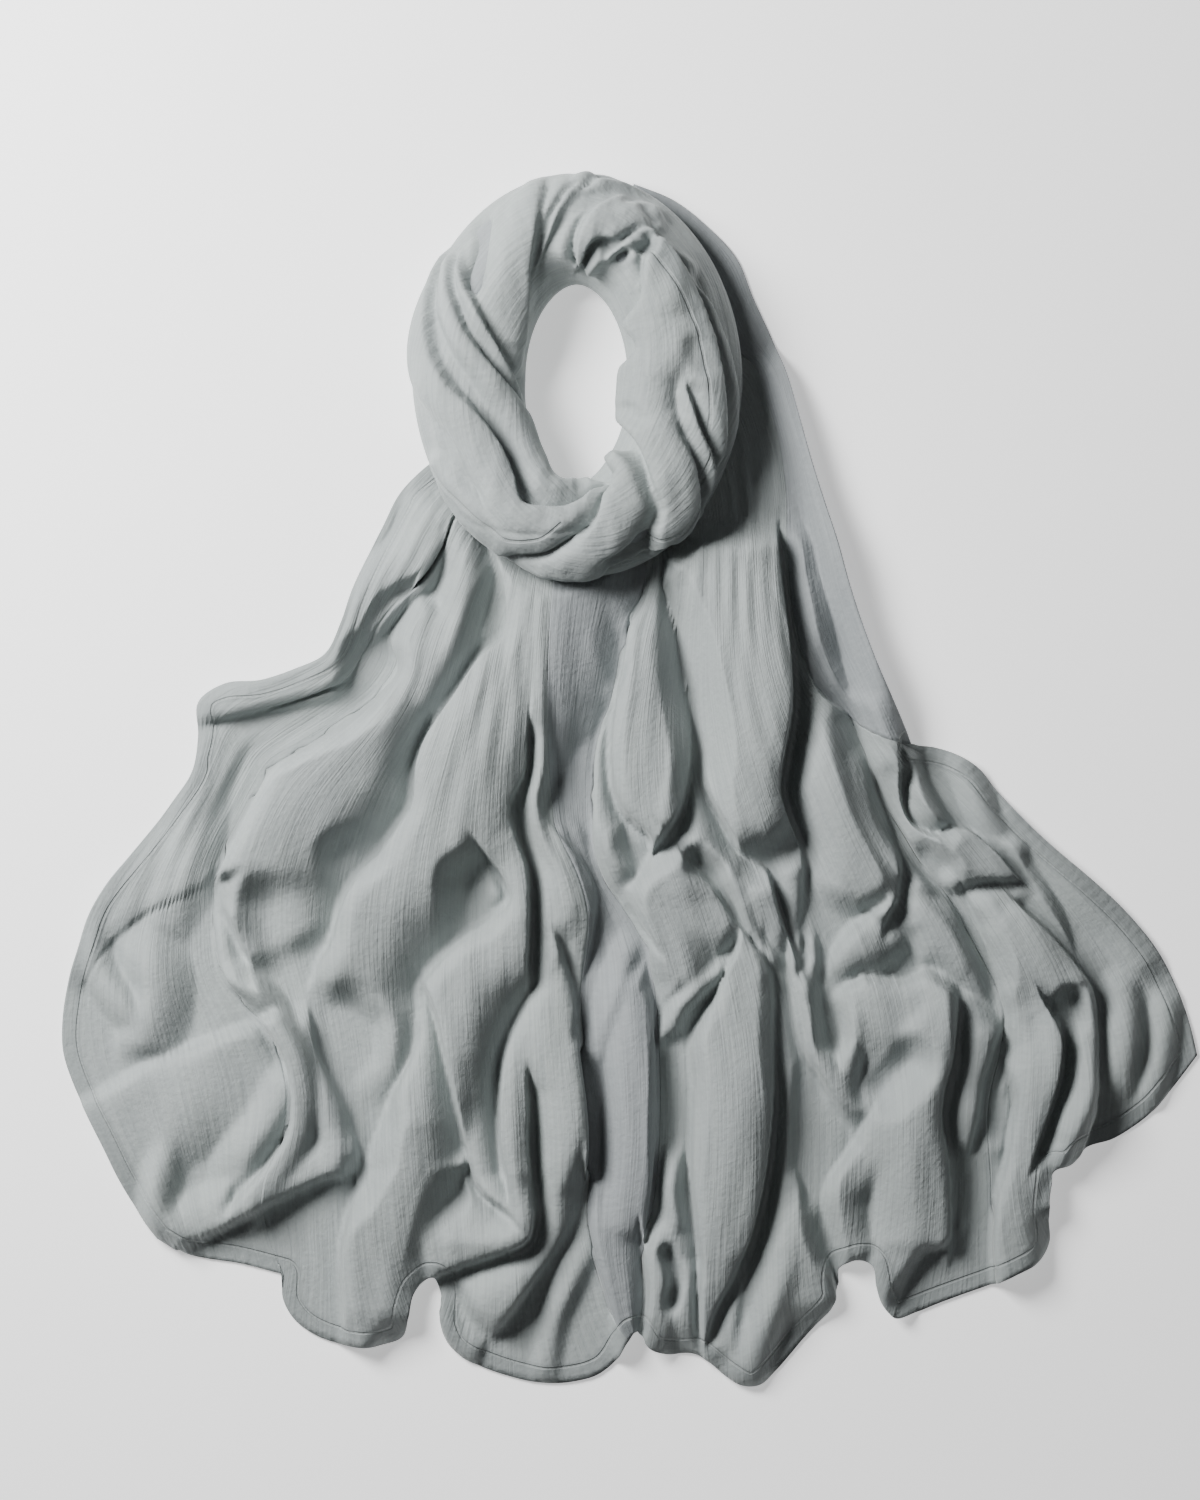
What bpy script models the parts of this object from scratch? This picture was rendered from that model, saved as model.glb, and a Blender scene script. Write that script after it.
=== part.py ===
"""A wound hijab headscarf laid flat: a ring of wound cloth with both ends spread out below it.

The plan of the laid-out scarf is drawn in plan units, across and down, 0.6 mm to the unit.
Every height is in millimetres above the surface that the scarf lies on.
"""

import math

import bmesh
import bpy
import numpy as np

# Driving sizes
PLAN_UNIT = 0.0006
MM = 0.001
PLAN_MIDDLE = (629.9, 782.0)
CLOTH = 2.0
SEAM_GAP = 0.36
STEEPEST = 2.2

# The ring: an oval tube of wound cloth, in millimetres
RING_MIDDLE = (577.0, 382.0)
RING_ACROSS = 64.5
RING_DOWN = 90.0
RING_TOP = 39.0
RING_WIDEST = 15.0
RING_FOOT = 19.0
RING_STEPS = 48
RING_ROUND = 18
BAND_BACK = 1.5
BAND_FREE_EDGE = 6.4
BAND_TUCKED_EDGE = 2.6

# Half the tube's width round the ring, to the outside of its bands: bearing in degrees, mm
RING_WIDTHS = ((-45, 33.0), (0, 35.0), (45, 34.0), (90, 33.6), (135, 34.0), (180, 34.5), (225, 31.0),
               (270, 28.0), (315, 33.0), (360, 35.0), (405, 34.0))
BAND_LIFT = 5.0
END_GAP = 0.25

# Where one band lies over the next: bearing round the ring, angle over the tube from its outer side
BAND_EDGES = {
    "outer": ((-90, 2), (450, 2)),
    "inner": ((-90, 172), (450, 172)),
    "left_pleat": ((112.5, 4), (142.5, 31), (172.5, 57), (202.5, 100), (240, 98), (262.5, 113), (285, 133),
                   (300, 160)),
    "upper_roll": ((82.5, 6), (90, 55), (97.5, 80), (105, 112), (120, 137), (150, 155), (187.5, 168)),
    "front_cross": ((210, 4), (217.5, 10), (240, 32), (255, 50), (277.5, 79), (285, 110), (300, 138),
                    (315, 166)),
    "front_low": ((210, 2), (285, 2), (300, 40), (307.5, 72), (315, 110), (322.5, 150)),
    "right_hem": ((-60, 4), (-45, 18), (-30, 33), (-15, 44), (0, 56), (22.5, 64), (52.5, 70)),
    "inner_right": ((-60, 14), (-52.5, 60), (-45, 96), (-30, 146), (0, 158), (22.5, 134), (37.5, 112),
                    (52.5, 76)),
    "top_outer": ((-22.5, 6), (-7.5, 22), (7.5, 36), (22.5, 33), (45, 18), (60, 24), (75, 32), (82.5, 44)),
}

# name, the bearings it runs between, its edge on the outer side, its edge on the inner side,
# which edge lies free on top, pleats raised along it, columns across it
BANDS = (
    ("ring_left_band", 120, 292.5, ("outer", "front_cross"), "left_pleat", "inner", 1, 8),
    ("ring_pleated_band", 90, 292.5, ("left_pleat",), "upper_roll", "inner", 4, 12),
    ("ring_front_band", 217.5, 315, ("front_low",), "front_cross", "inner", 2, 8),
    ("ring_right_band", -52.5, 45, ("right_hem",), "inner_right", "outer", 2, 9),
    ("ring_top_band", -15, 90, ("top_outer",), "right_hem", "outer", 2, 7),
    ("ring_outer_band", -15, 90, ("outer",), "top_outer", "inner", 2, 5),
    ("ring_inner_top_band", 37.5, 112.5, ("inner_right", "upper_roll"), "inner", "outer", 1, 7),
    ("ring_low_right_band", -45, -15, ("outer",), "right_hem", "inner", 1, 4),
)

# Edges of the spread panels on the plan, each from the ring towards the hem
PLAN_EDGES = {
    "left_hem": ((408, 482), (393, 508), (372, 548), (350, 598), (332, 648), (300, 667), (262, 680),
                 (228, 683), (206, 692), (198, 708), (200, 730), (195, 755), (190, 778), (150, 832),
                 (100, 895), (82, 940), (68, 985), (62, 1040), (74, 1085), (100, 1138), (128, 1195),
                 (158, 1238)),
    "left_seam": ((448, 530), (434, 572), (404, 606), (388, 640), (394, 672), (350, 713), (300, 745),
                  (270, 763), (247, 803), (222, 853), (215, 880), (213, 930), (222, 980), (248, 1008),
                  (272, 1040), (287, 1085), (284, 1130), (270, 1165), (263, 1200), (270, 1240),
                  (283, 1274)),
    "middle_left": ((553, 585), (550, 625), (548, 700), (550, 780), (558, 830), (576, 870), (588, 910),
                    (586, 955), (581, 1000), (585, 1050), (593, 1108), (594, 1152), (588, 1192),
                    (588, 1235), (599, 1278), (612, 1318), (628, 1338)),
    "middle_right": ((646, 578), (638, 603), (625, 626), (618, 665), (609, 706), (595, 742), (590, 790),
                     (592, 840), (604, 880), (628, 915), (646, 950), (655, 990), (659, 1050),
                     (660, 1110), (657, 1170), (650, 1222), (641, 1248), (643, 1290), (638, 1330)),
    "back_seam": ((750, 360), (764, 395), (778, 440), (786, 490), (788, 550), (793, 610), (806, 660),
                  (822, 692), (848, 716)),
    "right_seam": ((848, 716), (868, 760), (885, 803), (905, 838), (927, 872), (948, 896), (967, 930),
                   (983, 962), (1000, 995), (1004, 1030), (995, 1070), (988, 1110), (989, 1160),
                   (991, 1200), (990, 1240), (993, 1283)),
    "back_outer": ((634, 184), (660, 192), (690, 213), (730, 248), (747, 285), (768, 330), (788, 380), (802, 432),
                   (817, 485), (835, 540), (852, 600), (872, 655), (893, 703), (912, 745)),
    "right_hem": ((912, 745), (945, 750), (977, 767), (1002, 797), (1045, 840), (1100, 887),
                  (1135, 922), (1163, 960), (1186, 1012), (1197, 1055)),
}
PLAN_ENDS = {
    "left_low_hem": ((158, 1238), (190, 1255), (240, 1263), (283, 1274)),
    "front_left_hem": ((283, 1274), (284, 1302), (303, 1327), (338, 1343), (376, 1345),
                       (404, 1335), (411, 1305), (418, 1286), (434, 1276), (441, 1290), (441, 1325),
                       (457, 1353), (500, 1373), (552, 1383), (602, 1372), (628, 1338)),
    "middle_hem": ((628, 1338), (633, 1331), (638, 1330)),
    "front_right_hem": ((638, 1330), (650, 1347), (672, 1354), (698, 1354), (722, 1373), (750, 1387),
                        (772, 1374), (806, 1335), (836, 1300), (838, 1268), (868, 1259), (878, 1295),
                        (896, 1317), (946, 1300), (993, 1283)),
    "right_low_hem": ((993, 1283), (1040, 1258), (1050, 1235), (1047, 1205), (1053, 1168), (1068, 1167),
                  (1083, 1150), (1112, 1139), (1147, 1116), (1172, 1088), (1197, 1055)),
    "back_hem": ((848, 716), (870, 732), (892, 741), (912, 745)),
}

# Where the panels come out from under the ring: bearings round it, in degrees
PANEL_TOPS = {"left_top": (203, 224), "front_left_top": (224, 260), "middle_top": (260, 297),
              "front_right_top": (297, 372), "back_inner": (72, 12)}
EDGE_STARTS = {"left_hem": 203, "left_seam": 224, "middle_left": 260, "middle_right": 297,
               "back_seam": 12}
TUCKED_UNDER = 15.8

# Folds with one steep side. run: the foot of the steep side on the plan, from the ring down;
# body: the side of a walker along the run on which the fold lies; rise and fall: plan units;
# height: mm at the start, the middle and the end
RIM_FOLDS = (
    # name, body, rise, fall, height, run
    ("shoulder_rim", "left", 15, 85, (12, 21, 12), ((404, 606), (388, 640), (394, 672), (350, 713),
     (300, 745), (270, 763), (247, 803), (222, 853), (216, 874), (222, 905), (243, 955))),
    ("ribbon_edge", "right", 12, 34, (8, 13, 9), ((455, 522), (444, 552), (424, 582), (398, 604),
     (378, 630), (362, 662), (346, 684), (326, 694))),
    ("ribbon_low_edge", "right", 10, 28, (8, 9, 7), ((340, 688), (300, 702), (255, 714), (212, 724))),
    ("outer_rope", "left", 12, 22, (12, 18, 10), ((214, 915), (213, 945), (222, 980), (248, 1008),
     (268, 1036), (283, 1062), (288, 1095), (284, 1130), (262, 1164), (238, 1194))),
    ("outer_layer_edge", "right", 9, 50, (5, 7, 4), ((212, 884), (180, 900), (145, 917), (112, 945),
     (92, 975))),
    ("left_bowl_edge", "right", 11, 70, (4, 8, 7), ((84, 1099), (115, 1082), (150, 1061), (180, 1049),
     (215, 1036), (252, 1021))),
    ("smile_fold", "left", 12, 32, (7, 12, 10), ((190, 1247), (225, 1232), (255, 1216), (290, 1199),
     (320, 1184), (357, 1172))),
    ("inner_flap", "right", 13, 28, (8, 13, 10), ((316, 1025), (323, 1055), (338, 1085), (352, 1115),
     (361, 1163))),
    ("second_fold", "left", 15, 82, (11, 21, 12), ((492, 560), (501, 600), (500, 632), (478, 652),
     (452, 690), (424, 732), (412, 765), (409, 800), (396, 822), (376, 850), (350, 880), (338, 905),
     (330, 935), (314, 968))),
    ("third_fold", "left", 14, 58, (12, 20, 12), ((486, 858), (502, 880), (507, 900), (490, 913),
     (462, 934), (437, 958), (417, 986), (418, 1010), (414, 1040), (398, 1076), (383, 1115), (366, 1158),
     (350, 1200), (340, 1240), (338, 1275), (340, 1315))),
    ("fourth_fold", "left", 12, 50, (9, 17, 9), ((424, 988), (434, 1012), (441, 1042), (452, 1090),
     (461, 1132), (467, 1165), (478, 1190), (500, 1208))),
    ("fifth_fold", "left", 11, 40, (8, 15, 14), ((530, 995), (512, 1025), (501, 1058), (497, 1100),
     (498, 1145), (503, 1172))),
    ("bulb_fold", "right", 13, 44, (8, 15, 10), ((531, 1090), (533, 1140), (535, 1185), (538, 1218),
     (530, 1243), (500, 1257), (442, 1277))),
    ("sixth_fold", "right", 14, 44, (8, 17, 9), ((562, 944), (577, 990), (585, 1050), (593, 1108),
     (594, 1152), (586, 1190), (571, 1230), (547, 1270), (519, 1310), (490, 1345))),
    ("hem_fold", "left", 11, 36, (6, 9, 7), ((586, 1192), (588, 1235), (599, 1278), (611, 1318),
     (614, 1350))),
    ("middle_strip", "right", 11, 34, (7, 14, 9), ((651, 985), (657, 1030), (659, 1100), (656, 1170),
     (648, 1228))),
    ("middle_panel", "right", 12, 40, (4, 9, 6), ((560, 830), (585, 862), (598, 900), (592, 950),
     (581, 1000))),
    ("middle_left_rim", "right", 12, 34, (8, 13, 10), ((530, 740), (528, 775), (514, 805), (520, 835),
     (531, 870), (533, 920), (530, 985))),
    ("small_strip", "left", 9, 22, (7, 11, 7), ((606, 716), (594, 742), (590, 790), (591, 840),
     (600, 872), (616, 896), (640, 925))),
    ("right_first", "left", 14, 62, (11, 19, 13), ((648, 575), (640, 603), (625, 626), (619, 662),
     (611, 705), (607, 750), (610, 788), (621, 815), (645, 838), (648, 852), (638, 872), (629, 890),
     (631, 910), (641, 934), (653, 985))),
    ("right_first_inner", "right", 10, 30, (5, 15, 13), ((663, 590), (674, 625), (681, 665), (689, 705),
     (691, 755), (687, 785), (680, 815), (664, 838))),
    ("broad_left", "left", 18, 95, (13, 21, 15), ((662, 556), (666, 600), (679, 645), (686, 690),
     (701, 742), (703, 785), (716, 815), (735, 845), (750, 857))),
    ("broad_right", "right", 16, 72, (13, 20, 9), ((782, 550), (789, 610), (795, 660), (796, 705),
     (790, 745), (784, 785), (790, 812), (804, 848), (806, 885), (803, 920), (800, 955))),
    ("right_second", "right", 14, 66, (8, 19, 15), ((806, 660), (822, 692), (848, 715), (866, 760),
     (880, 800), (895, 842), (902, 872), (900, 900), (893, 915))),
    ("right_second_tail", "left", 11, 34, (10, 14, 6), ((868, 912), (848, 928), (833, 948), (823, 978))),
    ("right_third", "right", 11, 36, (7, 12, 7), ((900, 850), (925, 880), (952, 900), (967, 930),
     (981, 960), (988, 985))),
    ("loop_top", "right", 11, 40, (12, 16, 10), ((902, 762), (902, 798), (912, 822), (935, 834),
     (962, 826), (990, 843), (1017, 874))),
    ("loop_under", "left", 11, 30, (12, 15, 11), ((852, 716), (870, 762), (885, 803), (905, 838),
     (927, 872), (945, 892), (975, 884), (1012, 882))),
    ("right_arm", "right", 13, 46, (10, 16, 11), ((1022, 905), (1050, 930), (1075, 958), (1094, 985),
     (1099, 1012), (1101, 1060), (1099, 1108), (1090, 1136))),
    ("right_arm_left", "left", 12, 50, (8, 14, 8), ((968, 900), (982, 932), (992, 960), (996, 990),
     (1004, 1015))),
    ("right_arch", "right", 11, 34, (9, 13, 8), ((1048, 1005), (1062, 1030), (1061, 1070),
     (1051, 1108), (1036, 1150))),
    ("right_hook", "left", 11, 36, (8, 12, 9), ((1006, 1075), (1013, 1098), (1008, 1130), (1003, 1160),
     (992, 1200), (989, 1240), (992, 1284))),
    ("cross_fold", "right", 14, 58, (11, 18, 10), ((838, 988), (865, 974), (900, 976), (926, 968),
     (950, 979), (959, 995), (959, 1030), (955, 1062), (947, 1092), (945, 1120), (951, 1155),
     (954, 1200), (953, 1241))),
    ("cross_vee", "left", 10, 20, (10, 14, 8), ((787, 950), (790, 1000), (799, 1050), (817, 1078),
     (834, 1106), (846, 1125))),
    ("cross_lower", "left", 11, 30, (8, 12, 8), ((864, 1120), (845, 1152), (822, 1190), (826, 1228),
     (834, 1256))),
    ("narrow_ess", "right", 11, 26, (8, 13, 9), ((958, 990), (985, 1006), (1001, 1026), (995, 1052),
     (985, 1082), (981, 1112), (976, 1134))),
    ("strip_left", "left", 14, 66, (12, 18, 10), ((728, 955), (715, 985), (702, 1010), (688, 1042),
     (690, 1080), (688, 1125), (688, 1165), (691, 1205), (698, 1255))),
    ("strip_right", "right", 14, 60, (10, 17, 9), ((768, 952), (773, 985), (774, 1050), (776, 1100),
     (771, 1160), (763, 1205), (752, 1243), (738, 1275), (722, 1305), (712, 1332))),
    ("knot_right", "right", 11, 30, (9, 13, 11), ((690, 858), (715, 885), (735, 915), (757, 942),
     (772, 962))),
    ("knot_far", "right", 11, 28, (11, 13, 7), ((745, 858), (768, 872), (778, 900), (786, 930),
     (800, 960))),
    ("corner_panel", "right", 12, 64, (6, 11, 7), ((801, 1178), (812, 1212), (829, 1258), (838, 1290))),
    ("small_hook", "left", 11, 22, (9, 11, 8), ((640, 1240), (645, 1290), (642, 1330))),
    ("hem_corner_left", "left", 11, 30, (7, 9, 6), ((698, 1262), (698, 1310), (700, 1345))),
    ("low_flap", "right", 10, 36, (6, 9, 6), ((952, 1240), (920, 1265), (904, 1300))),
)

# Round folds. run: the crest; left and right: half widths on a walker's left and right, plan units
ROUND_FOLDS = (
    # name, left, right, height, run
    ("ribbon_rise", 14, 18, (6, 8, 6), ((440, 545), (426, 580), (395, 608), (362, 640), (338, 672))),
    ("ribbon_flat", 16, 18, (6, 7, 6), ((330, 688), (290, 696), (250, 700), (215, 704))),
    ("neck_left", 24, 26, (8, 14, 12), ((455, 520), (468, 570), (462, 600), (452, 640), (425, 700))),
    ("outer_soft", 34, 34, (4, 8, 5), ((215, 740), (195, 800), (190, 860), (160, 920))),
    ("outer_edge", 20, 20, (5, 8, 6), ((98, 905), (96, 950), (112, 990), (150, 1030))),
    ("outer_mid", 36, 30, (4, 9, 8), ((130, 930), (160, 985), (148, 1040))),
    ("bowl_ridge", 24, 20, (5, 10, 8), ((168, 1135), (158, 1175), (160, 1215), (185, 1232))),
    ("bowl_spur", 22, 34, (8, 11, 5), ((285, 1085), (270, 1120), (245, 1160), (238, 1190))),
    ("hem_roll_left", 18, 22, (8, 11, 9), ((398, 1210), (392, 1260), (385, 1310), (365, 1338))),
    ("thin_rope", 12, 12, (9, 11, 8), ((463, 1160), (435, 1170), (419, 1198), (409, 1235), (400, 1275))),
    ("bulb_crest", 20, 18, (10, 16, 10), ((516, 1060), (514, 1120), (516, 1170), (522, 1215),
     (500, 1238), (455, 1238))),
    ("second_low", 30, 24, (8, 12, 7), ((360, 930), (345, 965), (338, 985))),
    ("second_curl", 18, 18, (6, 9, 4), ((375, 985), (392, 1020), (390, 1060), (372, 1085))),
    ("middle_rope", 13, 13, (9, 15, 9), ((540, 585), (541, 680), (543, 760), (536, 805), (546, 845),
     (566, 880))),
    ("middle_dark", 14, 14, (10, 14, 11), ((519, 640), (516, 700), (515, 750))),
    ("back_light", 16, 16, (4, 7, 4), ((572, 596), (588, 640), (603, 690))),
    ("back_light_two", 20, 20, (4, 7, 4), ((612, 590), (620, 620))),
    ("fold_seven", 14, 18, (3, 6, 4), ((592, 1240), (572, 1280), (556, 1320), (548, 1360))),
    ("middle_light", 16, 20, (5, 8, 5), ((625, 955), (612, 1005), (600, 1050))),
    ("pale_hook", 11, 12, (4, 9, 9), ((676, 1150), (672, 1190), (676, 1220))),
    ("knot_left", 16, 16, (12, 12, 9), ((686, 846), (668, 868), (640, 890))),
    ("knot_up", 14, 12, (10, 13, 9), ((680, 842), (700, 838), (712, 852), (735, 885), (750, 925),
     (770, 955))),
    ("strip_arm", 14, 14, (11, 13, 7), ((728, 962), (700, 985), (680, 1005), (667, 1035))),
    ("first_low_crest", 16, 14, (6, 15, 12), ((668, 720), (672, 765), (664, 812), (660, 832))),
    ("cross_arm", 22, 16, (10, 13, 7), ((852, 1015), (848, 1050), (842, 1085))),
    ("cross_panel", 30, 26, (10, 13, 9), ((935, 1060), (920, 1110), (912, 1170), (918, 1225))),
    ("arm_strip", 16, 20, (8, 13, 9), ((1084, 1038), (1086, 1090), (1072, 1130), (1058, 1160))),
    ("right_hem_soft", 22, 24, (4, 8, 5), ((1120, 990), (1125, 1040), (1120, 1080))),
    ("right_corner_soft", 18, 16, (4, 6, 4), ((1165, 1010), (1160, 1060), (1150, 1090))),
    ("right_outer_crease", 20, 16, (4, 7, 4), ((962, 770), (980, 810), (1002, 845))),
    ("right_outer_edge", 24, 24, (3, 5, 4), ((1010, 820), (1060, 870), (1110, 920), (1140, 960))),
    ("back_outer_ridge", 30, 28, (8, 14, 12), ((780, 370), (822, 480), (845, 560), (865, 630),
     (882, 700), (893, 760))),
    ("corner_ridge", 24, 24, (7, 10, 7), ((795, 1215), (785, 1270), (760, 1330), (745, 1365))),
    ("low_flap_mouth", 16, 14, (6, 8, 6), ((880, 1262), (885, 1290), (897, 1310))),
    ("hook_mouth", 16, 16, (6, 9, 7), ((1045, 1170), (1046, 1200), (1020, 1218))),
)

# Hollows taken out of the folds. share: how much of the height goes at the deepest
HOLLOWS = (
    # name, left, right, share, run
    ("eye_hollow", 32, 28, 0.9, ((468, 880), (470, 908))),
    ("shoulder_hollow", 22, 22, 0.85, ((365, 655), (360, 690))),
    ("second_hollow", 26, 26, 0.6, ((360, 850), (345, 855))),
    ("rope_hollow", 34, 30, 0.6, ((264, 905), (274, 945), (296, 985))),
    ("curl_hollow", 34, 30, 0.6, ((350, 1010), (360, 1055), (366, 1115))),
    ("knot_hollow", 14, 14, 0.7, ((698, 862), (712, 872))),
    ("broad_hollow", 20, 18, 0.6, ((757, 868), (775, 856), (794, 843))),
    ("loop_hollow", 18, 18, 0.75, ((925, 858), (940, 868))),
    ("arch_hollow", 15, 15, 0.7, ((1068, 1000), (1070, 1018))),
    ("hook_hollow", 14, 14, 0.8, ((1000, 1100), (995, 1135))),
    ("vee_hollow", 18, 18, 0.75, ((828, 985), (832, 1035))),
    ("cross_hollow", 30, 26, 0.7, ((905, 1060), (880, 1085))),
    ("mouth_left", 12, 13, 0.9, ((291, 1283), (310, 1298), (330, 1310))),
    ("mouth_middle", 15, 15, 0.9, ((452, 1290), (464, 1316), (488, 1338))),
    ("mouth_hook", 9, 9, 0.85, ((667, 1252), (675, 1275), (671, 1300))),
    ("mouth_right", 14, 18, 0.8, ((932, 1260), (915, 1283), (904, 1303))),
    ("strip_gap", 14, 14, 0.8, ((674, 1045), (676, 1100), (672, 1140))),
)
ROOT_SHARPNESS = 5.0
FOLD_SCALE = 1.4
LOWEST = 1.5

# The spread panels: name, left edge, right edge, top, bottom, columns, rows
PANEL_ROWS = 28
BACK_ROWS = 10
PANELS = (
    ("end_left_outer", ("left_hem",), ("left_seam",), "left_top", "left_low_hem", 15, PANEL_ROWS),
    ("end_left_front", ("left_seam",), ("middle_left",), "front_left_top", "front_left_hem", 22,
     PANEL_ROWS),
    ("middle_stretch", ("middle_left",), ("middle_right",), "middle_top", "middle_hem", 8, PANEL_ROWS),
    ("end_right_front", ("middle_right",), ("back_seam", "right_seam"), "front_right_top",
     "front_right_hem", 24, PANEL_ROWS),
    ("end_right_outer", ("right_seam",), ("right_hem",), "back_hem", "right_low_hem", 14,
     PANEL_ROWS - BACK_ROWS),
    ("back_stretch", ("back_inner", "back_seam"), ("back_outer",), "back_top", "back_hem", 7, 15),
)
BACK_INNER_ROWS = 5

# Colours are linear
FRONT_GREY = (0.33, 0.36, 0.35, 1.0)
SHADE_GREY = (0.27, 0.29, 0.29, 1.0)


def clear_scene():
    for obj in list(bpy.data.objects):
        bpy.data.objects.remove(obj, do_unlink=True)


def cloth_material(name, colour):
    """Viscose voile: matt, with no metal in it."""
    material = bpy.data.materials.new(name)
    material.use_nodes = True
    shader = material.node_tree.nodes["Principled BSDF"]
    shader.inputs["Base Color"].default_value = colour
    shader.inputs["Roughness"].default_value = 0.85
    shader.inputs["Metallic"].default_value = 0.0
    return material


def smooth_run(points, step=5.0):
    """Points about a step apart on a smooth curve through the run's own points."""
    ends = [tuple(2 * a - b for a, b in zip(points[0], points[1])), *points,
            tuple(2 * a - b for a, b in zip(points[-1], points[-2]))]
    ends = np.array(ends, float)
    pieces = []
    for a, b, c, d in zip(ends, ends[1:], ends[2:], ends[3:]):
        count = max(2, int(np.linalg.norm(c - b) / step) + 1)
        t = np.linspace(0, 1, count, endpoint=False)[:, None]
        pieces.append(0.5 * (2 * b + (c - a) * t + (2 * a - 5 * b + 4 * c - d) * t ** 2
                             + (3 * b - a - 3 * c + d) * t ** 3))
    return np.vstack([*pieces, ends[-2]])


def table_at(rows, where):
    """A value read from rows of (place, value), straight between them."""
    return float(np.interp(where, [row[0] for row in rows], [row[1] for row in rows]))


def placed_on(run, across, down):
    """For each plan point: its distance to the walker's left of the run, its share along the run
    and how far it lies past an end."""
    line = smooth_run(run)
    heading = np.gradient(line, axis=0)
    heading /= np.linalg.norm(heading, axis=1)[:, None]
    gap_across = across[:, None] - line[:, 0]
    gap_down = down[:, None] - line[:, 1]
    nearest = (gap_across ** 2 + gap_down ** 2).argmin(axis=1)
    every = np.arange(len(across))
    gap_across, gap_down = gap_across[every, nearest], gap_down[every, nearest]
    turn = heading[nearest]
    ahead = gap_across * turn[:, 0] + gap_down * turn[:, 1]
    leftward = gap_across * turn[:, 1] - gap_down * turn[:, 0]
    past = np.where(nearest == 0, np.maximum(-ahead, 0), 0)
    past = np.where(nearest == len(line) - 1, np.maximum(ahead, 0), past)
    distance = np.hypot(gap_across, gap_down)
    return np.sign(leftward) * distance, nearest / (len(line) - 1), past


def height_along(heights, share):
    """Start, middle and end heights joined by a half wave."""
    start, middle, end = heights
    foot = np.where(share < 0.5, start, end)
    return foot + (middle - foot) * np.sin(np.pi * share)


def fold_heights(across, down):
    """The cloth's height in mm at plan points: the highest fold wins, softened where folds meet."""
    power_sum = np.zeros(len(across))
    fade = 14.0
    for _, body, rise, fall, heights, run in RIM_FOLDS:
        inward, share, past = placed_on(run, across, down)
        if body == "right":
            inward = -inward
        up = np.clip(inward / rise, 0, 1)
        off = np.clip((inward - rise) / fall, 0, 1)
        profile = np.where(inward < rise, np.sqrt(1 - (1 - up) ** 2), (0.5 + 0.5 * np.cos(np.pi * off)) ** 0.8)
        power_sum += (height_along(heights, share) * np.exp(-(past / fade) ** 2) * profile) ** ROOT_SHARPNESS
    for _, left, right, heights, run in ROUND_FOLDS:
        leftward, share, past = placed_on(run, across, down)
        off = np.clip(np.abs(leftward) / np.where(leftward > 0, left, right), 0, 1)
        profile = (1 - off ** 2) ** 1.3
        power_sum += (height_along(heights, share) * np.exp(-(past / fade) ** 2) * profile) ** ROOT_SHARPNESS
    height = FOLD_SCALE * power_sum ** (1 / ROOT_SHARPNESS)
    for _, left, right, share_taken, run in HOLLOWS:
        leftward, _, _ = placed_on(run, across, down)
        off = np.clip(np.abs(leftward) / np.where(leftward > 0, left, right), 0, 1)
        height *= 1 - share_taken * (1 - off ** 2) ** 1.2
    return height + LOWEST


def ring_place(bearing):
    """The tube's centre line and its outward direction, in mm from the ring's middle."""
    angle = math.radians(bearing)
    centre = np.array((RING_ACROSS * math.cos(angle), RING_DOWN * math.sin(angle)))
    outward = np.array((math.cos(angle) / RING_ACROSS, math.sin(angle) / RING_DOWN))
    return centre, outward / np.linalg.norm(outward)


def under_ring_limit(across, down):
    """How high cloth may lie near the ring and under its outer side, in mm."""
    line = np.array([ring_place(360 * step / 240)[0] for step in range(240)])
    x = (across - RING_MIDDLE[0]) * PLAN_UNIT / MM
    y = (RING_MIDDLE[1] - down) * PLAN_UNIT / MM
    away = np.hypot(x[:, None] - line[:, 0], y[:, None] - line[:, 1]).min(axis=1)
    bearing = np.degrees(np.arctan2(y / RING_DOWN, x / RING_ACROSS))
    side = np.array([table_at(RING_WIDTHS, b) for b in np.where(bearing < -45, bearing + 360, bearing)])
    beyond = away - side
    tucked = RING_WIDEST - 3.0 + beyond * (RING_WIDEST / (32.0 - RING_FOOT))
    return np.maximum(np.where(beyond < 0, tucked, RING_WIDEST - 3.0 + 1.9 * beyond), CLOTH)


def on_scene(across, down):
    """Metres in the part's frame for plan units."""
    return (across - PLAN_MIDDLE[0]) * PLAN_UNIT, (PLAN_MIDDLE[1] - down) * PLAN_UNIT


def under_ring(bearing):
    """The plan point a little inside the ring's outer side, where cloth goes in under it."""
    centre, outward = ring_place(bearing)
    half = table_at(RING_WIDTHS, (bearing + 45) % 360 - 45) - TUCKED_UNDER
    spot = (centre + outward * half) * MM / PLAN_UNIT
    return RING_MIDDLE[0] + spot[0], RING_MIDDLE[1] - spot[1]


def plan_line(name):
    """The plan points of a named edge."""
    if name in PANEL_TOPS:
        start, end = PANEL_TOPS[name]
        return [under_ring(bearing) for bearing in np.linspace(start, end, 9)]
    if name in EDGE_STARTS:
        return [under_ring(EDGE_STARTS[name]), *PLAN_EDGES[name]]
    return PLAN_EDGES[name] if name in PLAN_EDGES else PLAN_ENDS[name]


def sampled(run, count):
    """A run's own length cut into count equal steps."""
    line = smooth_run(run)
    along = np.concatenate([[0], np.cumsum(np.linalg.norm(np.diff(line, axis=0), axis=1))])
    at = np.linspace(0, along[-1], count + 1)
    return np.stack([np.interp(at, along, line[:, k]) for k in (0, 1)], axis=1)


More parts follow.
